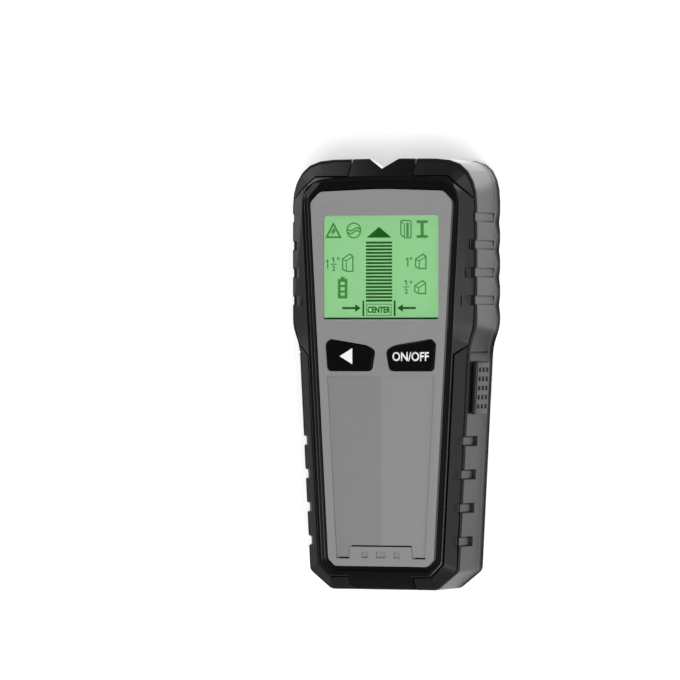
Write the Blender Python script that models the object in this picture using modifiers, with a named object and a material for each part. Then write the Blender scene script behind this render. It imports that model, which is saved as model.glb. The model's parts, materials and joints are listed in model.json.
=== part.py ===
"""Handheld stud finder, modelled as it comes apart on a bench.

The unit lies on its back. The back is at z = 0 and the face looks up (+Z). The top of the unit points
along +Y and the slide switch is on the right (+X). The origin is the centre of the footprint.
"""
import math

import bmesh
import bpy
from mathutils import Matrix, Vector

MM = 0.001

# Housing outline, as seen from the front
HEAD_WIDTH = 71.8 * MM
WAIST_STEP = 2.6 * MM
FOOT_WIDTH = 58.2 * MM
KEY_ROW_LENGTH = 25.6 * MM
WAIST_SLOPE = 7.2 * MM
SHOULDER_IN = 5.6 * MM
SHOULDER_DOWN = 8.0 * MM
SHOULDER_DRAFT = 1.5 * MM
FOOT_CORNER_IN = 8.4 * MM
FOOT_CORNER_UP = 6.8 * MM
TOP_ARCH = 0.4 * MM
BODY_BENDS = (8.0 * MM, 9.0 * MM, 7.0 * MM, 2.5 * MM, 3.0 * MM, 1.2 * MM, 1.2 * MM)

# Housing section
RIM_RISE = 4.0 * MM
PARTING_HEIGHT = 6.0 * MM
BACK_EDGE_RADIUS = 0.9 * MM
BORDER_EDGE = 0.4 * MM
GRIP_THICKNESS = 1.6 * MM
SHELL_WALL = 1.6 * MM
FRONT_WALL = 2.0 * MM
BACK_WALL = 2.0 * MM
GAP = 0.3 * MM

# Face plate, channel and lip
RIM_AT_HEAD = 8.4 * MM
RIM_AT_FOOT = 8.6 * MM
PLATE_TOP_MARGIN = 12.0 * MM
PLATE_FOOT_MARGIN = 8.5 * MM
PLATE_SHOULDER_IN = 3.5 * MM
PLATE_SHOULDER_DOWN = 3.7 * MM
PLATE_FOOT_CORNER = 2.6 * MM
PLATE_ARCH = 1.0 * MM
PLATE_THICKNESS = 2.0 * MM
PLATE_BELOW_LIP = 0.6 * MM
PLATE_EDGE = 0.35 * MM
PLATE_BENDS = (12.0 * MM, 1.2 * MM, 1.2 * MM, 0.8 * MM, 0.8 * MM)
CHANNEL_SIDE = 2.1 * MM
CHANNEL_TOP = 3.7 * MM
CHANNEL_DEPTH = 2.4 * MM
LIP_WIDTH = 1.2 * MM
CREASE_FROM_TOP = 17.0 * MM
CREASE_DROP = 0.7 * MM

# Recessed lower panel of the face plate
PANEL_BELOW_WAIST = 10.7 * MM
PANEL_SIDE_MARGIN = 3.2 * MM
PANEL_FOOT_MARGIN = 2.7 * MM
PANEL_TAB_LENGTH = 4.3 * MM
PANEL_TAB_WIDTH = 23.4 * MM
PANEL_DEPTH_TOP = 0.25 * MM
PANEL_DEPTH_FOOT = 0.9 * MM
PANEL_CREASE = 0.45 * MM
PANEL_SLIT = 0.5 * MM
PANEL_SLIT_FROM_TAB = 0.9 * MM
TAB_WINDOW_CENTRES = (-6.2 * MM, 0.0, 6.2 * MM)
TAB_WINDOW_WIDTHS = (2.3 * MM, 3.6 * MM, 2.3 * MM)
TAB_WINDOW_LENGTH = 2.3 * MM
TAB_WINDOW_DEPTH = 0.9 * MM

# Marking notch in the lip and the finger trough behind it
NOTCH_HALF_WIDTH = 5.9 * MM
NOTCH_DEPTH = 3.8 * MM
TROUGH_HALF_WIDTH = 16.0 * MM
TROUGH_DEPTH = 4.6 * MM
TROUGH_FLANK = 3.0 * MM
TROUGH_BENDS = (4.0 * MM, 1.5 * MM, 1.0 * MM)
NOTCH_LIP = 5.5 * MM

# Soft grips
GROOVE = 0.5 * MM
GROOVE_FROM_LIP = 0.3 * MM
GRIP_TICK_X = 12.4 * MM
GUARD_LENGTH = 14.3 * MM
GUARD_STEP = 1.5 * MM
GRIP_SPLIT_ABOVE_BORDER = 0.35 * MM
BORDER_LINE_DEPTH = 0.8 * MM
LEDGE_LINE_BELOW_WAIST = 2.1 * MM
LEDGE_LINE_WIDTH = 0.5 * MM
LEDGE_LINE_DEPTH = 0.5 * MM
HEAD_GROOVES = 4
HEAD_GROOVE_FIRST = 21.4 * MM
HEAD_GROOVE_PITCH = 9.95 * MM
HEAD_GROOVE_LENGTH = 3.5 * MM
HEAD_GROOVE_DEPTH = 0.6 * MM
HEAD_GROOVE_RAMP = 0.5 * MM
SCALLOP_HALF_LENGTH = 4.4 * MM
SCALLOP_FLAT = 0.8 * MM
SCALLOP_DEPTH = 0.6 * MM
RIM_NOTCH_FIRST = 1.4 * MM
RIM_NOTCH_GROWTH = 1.5 * MM
RIM_NOTCH_DEPTH = 0.7 * MM
RIM_SLIT_WIDTH = 0.55 * MM
RIM_SLIT_DEPTH = 1.6 * MM
SIDE_SLOTS = 4
SIDE_SLOT_FIRST = 34.1 * MM
SIDE_SLOT_PITCH = 12.05 * MM
SIDE_SLOT_LENGTH = 3.7 * MM
SIDE_SLOT_DEPTH = 1.1 * MM
SIDE_SLOT_FOOT = 12.3 * MM
SIDE_SLOT_RUN_OUT = 2.8 * MM
SIDE_SLOT_RAMP = 0.6 * MM

# Display
WINDOW_FROM_SIDE = 5.1 * MM
WINDOW_LENGTH = 37.7 * MM
WINDOW_CORNER = 1.3 * MM
WINDOW_FROM_TOP = 20.7 * MM
WINDOW_FROM_WAIST = 9.4 * MM
WINDOW_WEB = 0.8 * MM
LENS_MARGIN = 1.3 * MM
LENS_THICKNESS = 1.2 * MM
LCD_THICKNESS = 2.0 * MM
BACKLIGHT_THICKNESS = 2.7 * MM
LCD_FRAME_WALL = 1.4 * MM

# Keys
KEY_FROM_SIDE = 2.85 * MM
KEY_TAPER = 0.7 * MM
KEY_INNER_X = 2.4 * MM
KEY_HEEL_IN = 1.2 * MM
KEY_KNEE_IN = 2.7 * MM
KEY_FROM_WAIST = -2.3 * MM
KEY_LENGTH = 11.0 * MM
KEY_KNEE_DROP = 2.3 * MM
KEY_HEEL_DROP = 4.0 * MM
KEY_PROUD = 0.6 * MM
KEY_CLEARANCE = 0.35 * MM
KEY_TRAVEL = 0.5 * MM
KEY_FLANGE = 1.0 * MM
KEY_FLANGE_THICKNESS = 1.0 * MM
KEY_POST_RADIUS = 2.2 * MM
KEY_EDGE = 0.5 * MM
KEY_CORNER = 1.5 * MM
KEY_BENDS = (1.8 * MM, 0.8 * MM, 0.8 * MM, 1.6 * MM, 1.6 * MM, 1.2 * MM)

# Circuit boards and what they carry
BOARD_THICKNESS = 1.6 * MM
BOARD_SIDE_ROOM = 2.0 * MM
BOARD_NECK_ROOM = 3.0 * MM
BOARD_FROM_TOP = 10.8 * MM
PUSH_SWITCH_SIZE = 6.0 * MM
PUSH_SWITCH_HEIGHT = 2.4 * MM
STEM_RADIUS = 1.6 * MM
STEM_SEAT = 0.4 * MM
STEM_PROUD = 0.4 * MM
CHIP_SIZE = 10.0 * MM
CHIP_THICKNESS = 1.6 * MM
CHIP_X = 9.0 * MM
CHIP_FROM_LINK = 21.4 * MM
BUZZER_RADIUS = 6.5 * MM
BUZZER_HEIGHT = 6.0 * MM
BUZZER_X = -14.0 * MM
BUZZER_FROM_LINK = 15.4 * MM
SOUND_HOLE_RADIUS = 1.0 * MM
SENSOR_LENGTH = 50.0 * MM
SENSOR_STANDOFF = 1.5 * MM
STANDOFF_RADIUS = 2.0 * MM
LINK_LENGTH = 25.0 * MM
LINK_WIDTH = 2.5 * MM

# Slide switch on the right side
KNOB_BELOW_WAIST = 14.9 * MM
KNOB_LENGTH = 19.0 * MM
KNOB_DEPTH = 12.2 * MM
KNOB_PROUD = 2.2 * MM
KNOB_EDGE = 0.6 * MM
KNOB_TRAVEL = 3.4 * MM
DIMPLE_ROWS = 5
DIMPLE_COLUMNS = 3
DIMPLE_ROW_PITCH = 3.3 * MM
DIMPLE_COLUMN_PITCH = 3.6 * MM
DIMPLE_LENGTH = 1.6 * MM
DIMPLE_WIDTH = 2.0 * MM
DIMPLE_DEPTH = 0.6 * MM
NECK_LENGTH = 7.0 * MM
NECK_DEPTH = 3.6 * MM
FORK_LENGTH = 10.0 * MM
FORK_DEPTH = 4.0 * MM
FORK_THICKNESS = 1.6 * MM
LEVER_WIDTH = 1.8 * MM
LEVER_DEPTH = 2.0 * MM
LEVER_REACH = 3.8 * MM
MODE_SWITCH_WIDTH = 6.3 * MM
MODE_SWITCH_LENGTH = 13.0 * MM
MODE_SWITCH_HEIGHT = 4.9 * MM
LEVER_BELOW_CASE_TOP = 2.1 * MM

# Battery, its bay and door
BATTERY_WIDTH = 26.5 * MM
BATTERY_LENGTH = 46.4 * MM
BATTERY_HEIGHT = 17.5 * MM
BATTERY_EDGE = 1.6 * MM
STUD_RADIUS = 2.8 * MM
STUD_HEIGHT = 2.0 * MM
STUD_SPACING = 12.7 * MM
SNAP_THICKNESS = 3.5 * MM
SNAP_HEIGHT = 14.6 * MM
BAY_FOOT_MARGIN = 11.2 * MM
BAY_CLEARANCE = 0.4 * MM
BAY_WALL = 1.2 * MM
ROOM_OVER_BAY = 2.0 * MM
DOOR_PAST_BATTERY = 3.25 * MM
DOOR_THICKNESS = 1.8 * MM
DOOR_OVERLAP = 2.0 * MM
DOOR_TAB_WIDTH = 14.0 * MM
DOOR_TAB_LENGTH = 9.0 * MM
DOOR_SLIT = 0.9 * MM
DOOR_LINES = 3
DOOR_LINE_PITCH = 2.0 * MM
HINGE_RADIUS = 1.2 * MM
HINGE_BEHIND_BAY = 3.4 * MM
HINGE_PIN_RADIUS = 0.6 * MM
HINGE_PIN_LENGTH = 1.3 * MM
PAD_MARGIN = 4.0 * MM
PAD_LEDGE = 1.0 * MM
PAD_HEIGHT = 3.6 * MM
LEAD_RADIUS = 0.6 * MM
LEAD_SPACING = 9.0 * MM
LEAD_RUN = 8.0 * MM
LEAD_HOLE_HEIGHT = 3.6 * MM
RIB_WIDTH = 1.0 * MM

# Screws
TOP_SCREW_FROM_SIDE = 8.9 * MM
TOP_SCREW_FROM_TOP = 12.8 * MM
FOOT_SCREW_FROM_SIDE = 7.6 * MM
FOOT_SCREW_FROM_FOOT = 11.8 * MM
CASE_SCREW_RADIUS = 1.3 * MM
CASE_SCREW_HEAD_RADIUS = 2.6 * MM
CASE_SCREW_HEAD_HEIGHT = 1.8 * MM
CASE_SCREW_LENGTH = 9.0 * MM
SCREW_SINK = 1.4 * MM
BOSS_RADIUS = 3.0 * MM
BACK_BOSS_RADIUS = 4.2 * MM
DRIVE_RADIUS = 1.1 * MM
DRIVE_ARM = 0.27 * MM
DRIVE_DEPTH = 0.9 * MM
BOARD_SCREW_RADIUS = 1.0 * MM
BOARD_SCREW_HEAD_RADIUS = 2.0 * MM
BOARD_SCREW_HEAD_HEIGHT = 1.3 * MM
BOARD_SCREW_LENGTH = 4.6 * MM
BOARD_POST_RADIUS = 2.4 * MM
BOARD_SCREW_IN = 4.5 * MM
BOARD_SCREW_EDGE = 3.3 * MM

# Fineness of the round shapes
BEND_STEPS = 3
INSIDE_BEND_STEPS = 2
BACK_EDGE_STEPS = 2
LEAD_STEPS = 8
ROUND_SIDES = 16
SMALL_SIDES = 8
EDGE_STEPS = 2

# How far a cutter reaches past what it cuts, how far joined shapes run into each other,
# how close two corners are that count as one, and the share of a ramp that a cutter adds outside the skin
REACH = 10.0 * MM
BITE = 1.0 * MM
SAME_POINT = 0.01 * MM
RAMP_PAST_SKIN = 0.1

# Sizes that follow from those above: the display sets the head, and the battery sets the rest
WAIST_WIDTH = HEAD_WIDTH - 2 * WAIST_STEP
WINDOW_WIDTH = HEAD_WIDTH - 2 * (RIM_AT_HEAD + WINDOW_FROM_SIDE)
HEAD_LENGTH = WINDOW_FROM_TOP + WINDOW_LENGTH + WINDOW_FROM_WAIST
BAY_LENGTH = BAY_CLEARANCE + BATTERY_LENGTH + GAP + SNAP_THICKNESS + BAY_CLEARANCE
BODY_LENGTH = HEAD_LENGTH + KEY_ROW_LENGTH + BAY_LENGTH + BAY_FOOT_MARGIN
BAY_STACK = DOOR_THICKNESS + GAP + BATTERY_HEIGHT + GAP + BAY_WALL
FRONT_STACK = FRONT_WALL + GAP + PLATE_THICKNESS + PLATE_BELOW_LIP
THICKNESS = BAY_STACK + ROOM_OVER_BAY + FRONT_STACK
BORDER_HEIGHT = THICKNESS - RIM_RISE
DOOR_WIDTH = BATTERY_WIDTH + 2 * DOOR_PAST_BATTERY

# Places that follow from the sizes
TOP = BODY_LENGTH / 2
FOOT = -BODY_LENGTH / 2
SHOULDER_TOP = TOP - TOP_ARCH
WAIST = TOP - HEAD_LENGTH
FRONT_START = PARTING_HEIGHT + GAP / 2
BACK_END = PARTING_HEIGHT - GAP / 2
CAVITY_INSET = GRIP_THICKNESS + GAP + SHELL_WALL
PLATE_TOP_FACE = THICKNESS - PLATE_BELOW_LIP
PLATE_UNDERSIDE = PLATE_TOP_FACE - PLATE_THICKNESS
SEAT = PLATE_UNDERSIDE - GAP
CEILING = SEAT - FRONT_WALL
CHANNEL_FLOOR = THICKNESS - CHANNEL_DEPTH
GRIP_SPLIT = BORDER_HEIGHT + GRIP_SPLIT_ABOVE_BORDER
WINDOW_CENTRE = TOP - WINDOW_FROM_TOP - WINDOW_LENGTH / 2
LENS_TOP = PLATE_TOP_FACE - WINDOW_WEB - GAP
LCD_TOP = LENS_TOP - LENS_THICKNESS - GAP
BACKLIGHT_TOP = LCD_TOP - LCD_THICKNESS - GAP
BOARD_TOP = BACKLIGHT_TOP - BACKLIGHT_THICKNESS - 2 * GAP
BOARD_BOTTOM = BOARD_TOP - BOARD_THICKNESS
TROUGH_TOP = THICKNESS - NOTCH_LIP
KEY_TOP = WAIST - KEY_FROM_WAIST
KEY_FOOT = KEY_TOP - KEY_LENGTH
PLATE_HEAD_X = HEAD_WIDTH / 2 - RIM_AT_HEAD
PLATE_FOOT_X = FOOT_WIDTH / 2 - RIM_AT_FOOT
KEY_OUTER_X = (PLATE_HEAD_X + PLATE_FOOT_X) / 2 - KEY_FROM_SIDE
KEY_CENTRE_X = (KEY_OUTER_X + KEY_INNER_X) / 2
KEY_CENTRE_Y = (KEY_TOP + KEY_FOOT) / 2
SWITCH_LOW = BOARD_TOP + GAP
SWITCH_HIGH = SWITCH_LOW + PUSH_SWITCH_HEIGHT
DOOR_INSIDE = DOOR_THICKNESS + GAP
BATTERY_BOTTOM = DOOR_INSIDE
BATTERY_FOOT = FOOT + BAY_FOOT_MARGIN + BAY_CLEARANCE
BATTERY_HEAD = BATTERY_FOOT + BATTERY_LENGTH
BAY_FOOT = FOOT + BAY_FOOT_MARGIN
BAY_HEAD = BATTERY_HEAD + GAP + SNAP_THICKNESS + BAY_CLEARANCE
BAY_TOP = BATTERY_BOTTOM + BATTERY_HEIGHT + GAP
BAY_HALF_WIDTH = BATTERY_WIDTH / 2 + BAY_CLEARANCE
STUD_AXIS = BATTERY_BOTTOM + BATTERY_HEIGHT / 2
BOARD_FOOT = BAY_HEAD + BAY_WALL + 2 * GAP
HINGE_Y = BAY_FOOT - HINGE_BEHIND_BAY
DOOR_END = BAY_HEAD + DOOR_OVERLAP
TOP_SCREW_X = HEAD_WIDTH / 2 - TOP_SCREW_FROM_SIDE
FOOT_SCREW_X = FOOT_WIDTH / 2 - FOOT_SCREW_FROM_SIDE
BOARD_HALF_WIDTH = WAIST_WIDTH / 2 - CAVITY_INSET - BOARD_SIDE_ROOM
BOARD_NECK_HALF_WIDTH = TOP_SCREW_X - BOSS_RADIUS - BOARD_NECK_ROOM
BOARD_SCREW_X = BOARD_NECK_HALF_WIDTH - BOARD_SCREW_IN
KNOB_HEIGHT = BOARD_BOTTOM - GAP - LEVER_BELOW_CASE_TOP
SENSOR_HALF_WIDTH = WAIST_WIDTH / 2 - CAVITY_INSET - GAP - RIB_WIDTH
SENSOR_BOTTOM = BACK_WALL + SENSOR_STANDOFF
SENSOR_TOP = SENSOR_BOTTOM + BOARD_THICKNESS
SENSOR_HEAD = TOP - TOP_SCREW_FROM_TOP - BACK_BOSS_RADIUS - 4 * GAP
SENSOR_FOOT = SENSOR_HEAD - SENSOR_LENGTH
LINK_Y = SENSOR_FOOT + LINK_WIDTH * 2
NECK_END = -CAVITY_INSET - GAP
FORK_END = NECK_END - FORK_THICKNESS

PARTS = "stud_finder"
CUTTERS = "cutters"


def clear_scene():
    """Remove whatever the file held before."""
    for thing in list(bpy.data.objects):
        bpy.data.objects.remove(thing, do_unlink=True)
    for group in (PARTS, CUTTERS):
        bpy.context.scene.collection.children.link(bpy.data.collections.new(group))


def plastic(name, colour, roughness, metallic=0.0, transmission=0.0):
    """A plain Principled finish."""
    finish = bpy.data.materials.new(name)
    finish.use_nodes = True
    shader = finish.node_tree.nodes["Principled BSDF"]
    shader.inputs["Base Color"].default_value = (*colour, 1.0)
    shader.inputs["Roughness"].default_value = roughness
    shader.inputs["Metallic"].default_value = metallic
    shader.inputs["Transmission Weight"].default_value = transmission
    finish.diffuse_color = (*colour, 1.0)
    return finish


def as_object(name, mesh, finish=None):
    """Turn a bmesh into a named part, or into a cutter when it has no finish."""
    bmesh.ops.recalc_face_normals(mesh, faces=mesh.faces)
    data = bpy.data.meshes.new(name)
    mesh.to_mesh(data)
    mesh.free()
    piece = bpy.data.objects.new(name, data)
    place(piece, finish)
    return piece


def place(piece, finish):
    """Put a part in the parts collection, or a cutter in the other one."""
    if finish is None:
        bpy.data.collections[CUTTERS].objects.link(piece)
        piece.hide_render = True
        piece.display_type = "WIRE"
    else:
        bpy.data.collections[PARTS].objects.link(piece)
        piece.data.materials.clear()
        piece.data.materials.append(finish)


def box(name, low, high, finish=None):
    """A block between two corners."""
    mesh = bmesh.new()
    size = [top - bottom for bottom, top in zip(low, high)]
    middle = [(top + bottom) / 2 for bottom, top in zip(low, high)]
    bmesh.ops.create_cube(mesh, size=1.0, matrix=Matrix.Translation(middle) @ Matrix.Diagonal((*size, 1)))
    return as_object(name, mesh, finish)


def rod(name, start, end, radius, finish=None, sides=ROUND_SIDES):
    """A round bar from one point to another."""
    along = Vector(end) - Vector(start)
    turn = along.to_track_quat("Z", "Y").to_matrix().to_4x4()
    mesh = bmesh.new()
    bmesh.ops.create_cone(
        mesh, cap_ends=True, segments=sides, radius1=radius, radius2=radius, depth=along.length,
        matrix=Matrix.Translation((Vector(start) + Vector(end)) / 2) @ turn)
    return as_object(name, mesh, finish)


def loft(name, sections, finish=None):
    """A closed skin through outlines that all have the same number of points."""
    mesh = bmesh.new()
    loops = [[mesh.verts.new((x, y, height)) for x, y in outline] for height, outline in sections]
    mesh.faces.new(loops[0])
    mesh.faces.new(loops[-1])
    for lower, upper in zip(loops, loops[1:]):
        for here in range(len(lower)):
            after = (here + 1) % len(lower)
            mesh.faces.new((lower[here], lower[after], upper[after], upper[here]))
    twisted = [face for face in mesh.faces if len(face.verts) == 4]
    bmesh.ops.triangulate(mesh, faces=twisted)
    return as_object(name, mesh, finish)


def slab(name, outline, bottom, top, finish=None):
    """A flat outline with a thickness, drawn as a filled curve."""
    curve = bpy.data.curves.new(name, "CURVE")
    curve.dimensions = "2D"
    curve.fill_mode = "BOTH"
    curve.extrude = (top - bottom) / 2
    spline = curve.splines.new("POLY")
    spline.points.add(len(outline) - 1)
    for point, (x, y) in zip(spline.points, outline):
        point.co = (x, y, 0, 1)
    spline.use_cyclic_u = True
    drawn = bpy.data.objects.new(name + "_outline", curve)
    drawn.location.z = (top + bottom) / 2
    bpy.context.scene.collection.objects.link(drawn)
    bpy.context.view_layer.update()
    data = bpy.data.meshes.new_from_object(drawn.evaluated_get(bpy.context.evaluated_depsgraph_get()))
    mesh = bmesh.new()
    mesh.from_mesh(data)
    mesh.transform(drawn.matrix_world)
    bmesh.ops.remove_doubles(mesh, verts=mesh.verts, dist=SAME_POINT)
    bpy.data.objects.remove(drawn, do_unlink=True)
    bpy.data.curves.remove(curve)
    bpy.data.meshes.remove(data)
    return as_object(name, mesh, finish)


def gathered(name, pieces, finish=None):
    """Several solids that stand apart, as one object."""
    mesh = bmesh.new()
    for piece in pieces:
        mesh.from_mesh(piece.data)
        bpy.data.objects.remove(piece, do_unlink=True)
    return as_object(name, mesh, finish)


def turned(piece, matrix):
    """Move the mesh of a solid that was made round the origin."""
    piece.data.transform(matrix)
    return piece


def combine(piece, other, operation):
    """Add one Boolean step to a part."""
    step = piece.modifiers.new(other.name, "BOOLEAN")
    step.operation = operation
    step.solver = "EXACT"
    step.object = other


def cut(piece, *others):
    """Take other shapes out of a part."""
    for other in others:
        combine(piece, other, "DIFFERENCE")


def add(piece, *others):
    """Join other shapes to a part."""
    for other in others:
        combine(piece, other, "UNION")


def keep(piece, other):
    """Leave only what a part shares with another shape."""
    combine(piece, other, "INTERSECT")


def soften(piece, width, segments=EDGE_STEPS):
    """Round the edges of a part that has not been cut yet."""
    step = piece.modifiers.new("edges", "BEVEL")
    step.width = width
    step.segments = segments
    step.limit_method = "ANGLE"
    step.angle_limit = math.radians(50)


def put_origin(piece, point):
    """Place a moving part's origin on its joint."""
    piece.data.transform(Matrix.Translation(-Vector(point)))
    piece.location = point


def mirrored(half):
    """The whole loop from its right half, whose first point is on the centre line."""
    return half + [(-x, y) for x, y in reversed(half[1:])]


def both_sides(bends):
    """The bends of a whole loop from those of its right half."""
    return list(bends) + list(reversed(bends[1:]))


def inset_loop(loop, inset):
    """A clockwise loop with each side moved inwards by the same distance."""
    moved = []
    for before, here, after in zip(loop[-1:] + loop[:-1], loop, loop[1:] + loop[:1]):
        arriving = (Vector(here) - Vector(before)).normalized()
        leaving = (Vector(after) - Vector(here)).normalized()
        first = Vector((arriving.y, -arriving.x))
        second = Vector((leaving.y, -leaving.x))
        mitre = (first + second) / (1 + first.dot(second)) * inset
        moved.append((here[0] + mitre.x, here[1] + mitre.y))
    return moved


def rounded(loop, bends, steps=BEND_STEPS):
    """A loop whose corners are bends, each starting its own distance before the corner."""
    points = []
    for before, here, after, bend in zip(loop[-1:] + loop[:-1], loop, loop[1:] + loop[:1], bends):
        corner = Vector(here)
        back = Vector(before) - corner
        ahead = Vector(after) - corner
        start = corner + back.normalized() * min(bend, back.length * 0.45)
        end = corner + ahead.normalized() * min(bend, ahead.length * 0.45)
        for step in range(steps + 1):
            part = step / steps
            point = start * (1 - part) ** 2 + corner * 2 * part * (1 - part) + end * part ** 2
            points.append((point.x, point.y))
    return points


def along_side(upper, lower, y):
    """The x of a straight side at a given y."""
    share = (y - upper[1]) / (lower[1] - upper[1])
    return upper[0] + (lower[0] - upper[0]) * share


def body_loop(draft=0.0):
    """Corners of the housing, clockwise from the centre of the top. The draft cuts the shoulder back."""
    return mirrored([
        (0, TOP),
        (HEAD_WIDTH / 2 - SHOULDER_IN - draft, SHOULDER_TOP),
        (HEAD_WIDTH / 2, SHOULDER_TOP - SHOULDER_DOWN - draft),
        (HEAD_WIDTH / 2, WAIST + WAIST_SLOPE),
        (WAIST_WIDTH / 2, WAIST),
        (FOOT_WIDTH / 2, FOOT + FOOT_CORNER_UP),
        (FOOT_WIDTH / 2 - FOOT_CORNER_IN, FOOT),
    ])


def trough_loop(draft):
    """Corners of the housing with the finger trough behind the marking notch."""
    side = body_loop(draft)[1:len(BODY_BENDS)]
    trough = [
        (0, TOP - TROUGH_DEPTH),
        (TROUGH_HALF_WIDTH - TROUGH_FLANK, TOP - TROUGH_DEPTH),
        (TROUGH_HALF_WIDTH, SHOULDER_TOP),
    ]
    return mirrored(trough + side)


def trough_outline(inset, draft=0.0):
    """The housing's outline with the trough, moved inwards."""
    bends = both_sides(TROUGH_BENDS + BODY_BENDS[1:])
    return rounded(inset_loop(trough_loop(draft), inset), bends, INSIDE_BEND_STEPS)


def cavity_outline(inset, height):
    """The housing's inside at one height: its shoulders lean in as the skin's do."""
    return trough_outline(CAVITY_INSET + inset, SHOULDER_DRAFT * height / CEILING)


def plate_loop():
    """Corners of the grey face plate."""
    top = TOP - PLATE_TOP_MARGIN
    bottom = FOOT + PLATE_FOOT_MARGIN
    return mirrored([
        (0, top + PLATE_ARCH),
        (PLATE_HEAD_X - PLATE_SHOULDER_IN, top),
        (PLATE_HEAD_X, top - PLATE_SHOULDER_DOWN),
        (PLATE_FOOT_X, bottom + PLATE_FOOT_CORNER),
        (PLATE_FOOT_X - PLATE_FOOT_CORNER, bottom),
    ])


def plate_outline(loop):
    """The plate's bends on a loop with the same corners."""
    return rounded(loop, both_sides(PLATE_BENDS))


def channel_loop():
    """Corners of the black channel round the plate, wider at the top."""
    half = inset_loop(plate_loop(), -CHANNEL_SIDE)[:len(PLATE_BENDS)]
    rise = CHANNEL_TOP - CHANNEL_SIDE
    raised = [(x, y + rise) for x, y in half[:3]]
    return mirrored(raised + half[3:])


def lip_half(outwards):
    """Right half of the lip's outer corners, with two more where the housing has its waist."""
    half = inset_loop(channel_loop(), -LIP_WIDTH - outwards)[:len(PLATE_BENDS)]
    side = [(along_side(half[2], half[3], y), y) for y in (WAIST + WAIST_SLOPE, WAIST)]
    return half[:3] + side + half[3:]


def lip_outline():
    """The lip's outer edge, with as many points as the housing's outline."""
    return rounded(mirrored(lip_half(0)), both_sides(BODY_BENDS))


def body_outline(inset=0.0, draft=0.0):
    """The housing's outline, moved inwards."""
    return rounded(inset_loop(body_loop(draft), inset), both_sides(BODY_BENDS))


def between(first, second, share):
    """An outline part of the way from one to another."""
    return [(a[0] + (b[0] - a[0]) * share, a[1] + (b[1] - a[1]) * share) for a, b in zip(first, second)]


def front_block(name, finish=None):
    """The outer form of the front half: side wall, sloping rim and flat lip."""
    share = BORDER_EDGE / (RIM_AT_HEAD - CHANNEL_SIDE - LIP_WIDTH)
    border = body_outline(draft=SHOULDER_DRAFT)
    return loft(name, [
        (FRONT_START, body_outline()),
        (BORDER_HEIGHT - BORDER_EDGE, border),
        (BORDER_HEIGHT + share * (THICKNESS - BORDER_HEIGHT), between(border, lip_outline(), share)),
        (THICKNESS, lip_outline()),
    ], finish)


def inner_block(name, depth):
    """The front half's form at a depth below its skin, reaching down past the parting line."""
    slope = rim_slope()
    drop = depth / math.cos(slope)
    return loft(name, [
        (0, body_outline(depth)),
        (PARTING_HEIGHT, body_outline(depth)),
        (BORDER_HEIGHT + depth * math.tan(slope) - drop, body_outline(depth, SHOULDER_DRAFT)),
        (THICKNESS - drop, lip_outline()),
    ])


def grip_loops():
    """The areas of the right grip seen from the front, bounded inwards by its groove line."""
    line = lip_half(GROOVE_FROM_LIP + GROOVE / 2)
    far = HEAD_WIDTH / 2 + REACH
    guard_end = TOP - GUARD_LENGTH
    guard = [
        (GRIP_TICK_X, TOP + REACH),
        (far, TOP + REACH),
        (far, guard_end),
        (line[2][0] + 2 * GUARD_STEP, guard_end),
        (line[2][0] + GUARD_STEP, guard_end + GUARD_STEP),
        line[1],
        (GRIP_TICK_X, line[1][1]),
    ]
    knee = WAIST - 2 * GUARD_STEP
    lower = [
        (far, WAIST + GUARD_STEP),
        (far, FOOT - REACH),
        (GRIP_TICK_X, FOOT - REACH),
        (GRIP_TICK_X, line[6][1]),
        line[6],
        line[5],
        (along_side(line[2], line[5], knee), knee),
        (WAIST_WIDTH / 2, WAIST + GUARD_STEP / 2),
    ]
    return guard, lower


def grip_area(name, side, grow):
    """The room that one grip takes: its two areas, and the whole side wall below the rim."""
    areas = []
    for loop in grip_loops():
        loop = inset_loop(loop, -grow)
        areas.append([(side * x, y) for x, y in loop])
    guard, lower = [
        slab(f"{name}_{part}", loop, 0, THICKNESS + REACH) for part, loop in zip(("guard", "lower"), areas)]
    ends = sorted((side * (GRIP_TICK_X - grow), side * (HEAD_WIDTH / 2 + REACH)))
    wall = box(name + "_wall", (ends[0], FOOT - REACH, -REACH), (ends[1], TOP + REACH, GRIP_SPLIT + grow))
    add(wall, guard, lower)
    return wall


def side_frame(side, y, height):
    """A frame on the tapered side wall: X outwards, Y up the wall, Z towards the face."""
    waist = (WAIST_WIDTH / 2, WAIST)
    foot = (FOOT_WIDTH / 2, FOOT + FOOT_CORNER_UP)
    angle = math.atan2(waist[0] - foot[0], waist[1] - foot[1])
    origin = Matrix.Translation((side * along_side(waist, foot, y), y, height))
    return origin @ Matrix.Rotation(-side * angle, 4, "Z") @ Matrix.Diagonal((side, 1, 1, 1))


def rim_slope():
    """The angle at which the rim rises from the border to the lip."""
    return math.atan2(THICKNESS - BORDER_HEIGHT, RIM_AT_HEAD - CHANNEL_SIDE - LIP_WIDTH)


def rim_frame(side):
    """A frame on the rim at the head's border: X inwards up the slope, Z out of it."""
    flip = Matrix.Diagonal((-side, 1, 1, 1))
    border = Matrix.Translation((side * HEAD_WIDTH / 2, 0, BORDER_HEIGHT))
    return border @ flip @ Matrix.Rotation(-rim_slope(), 4, "Y")


def head_groove_span(index):
    """The upper and lower y of one finger groove."""
    upper = TOP - HEAD_GROOVE_FIRST + HEAD_GROOVE_LENGTH / 2 - index * HEAD_GROOVE_PITCH
    return upper, upper - HEAD_GROOVE_LENGTH


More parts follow.
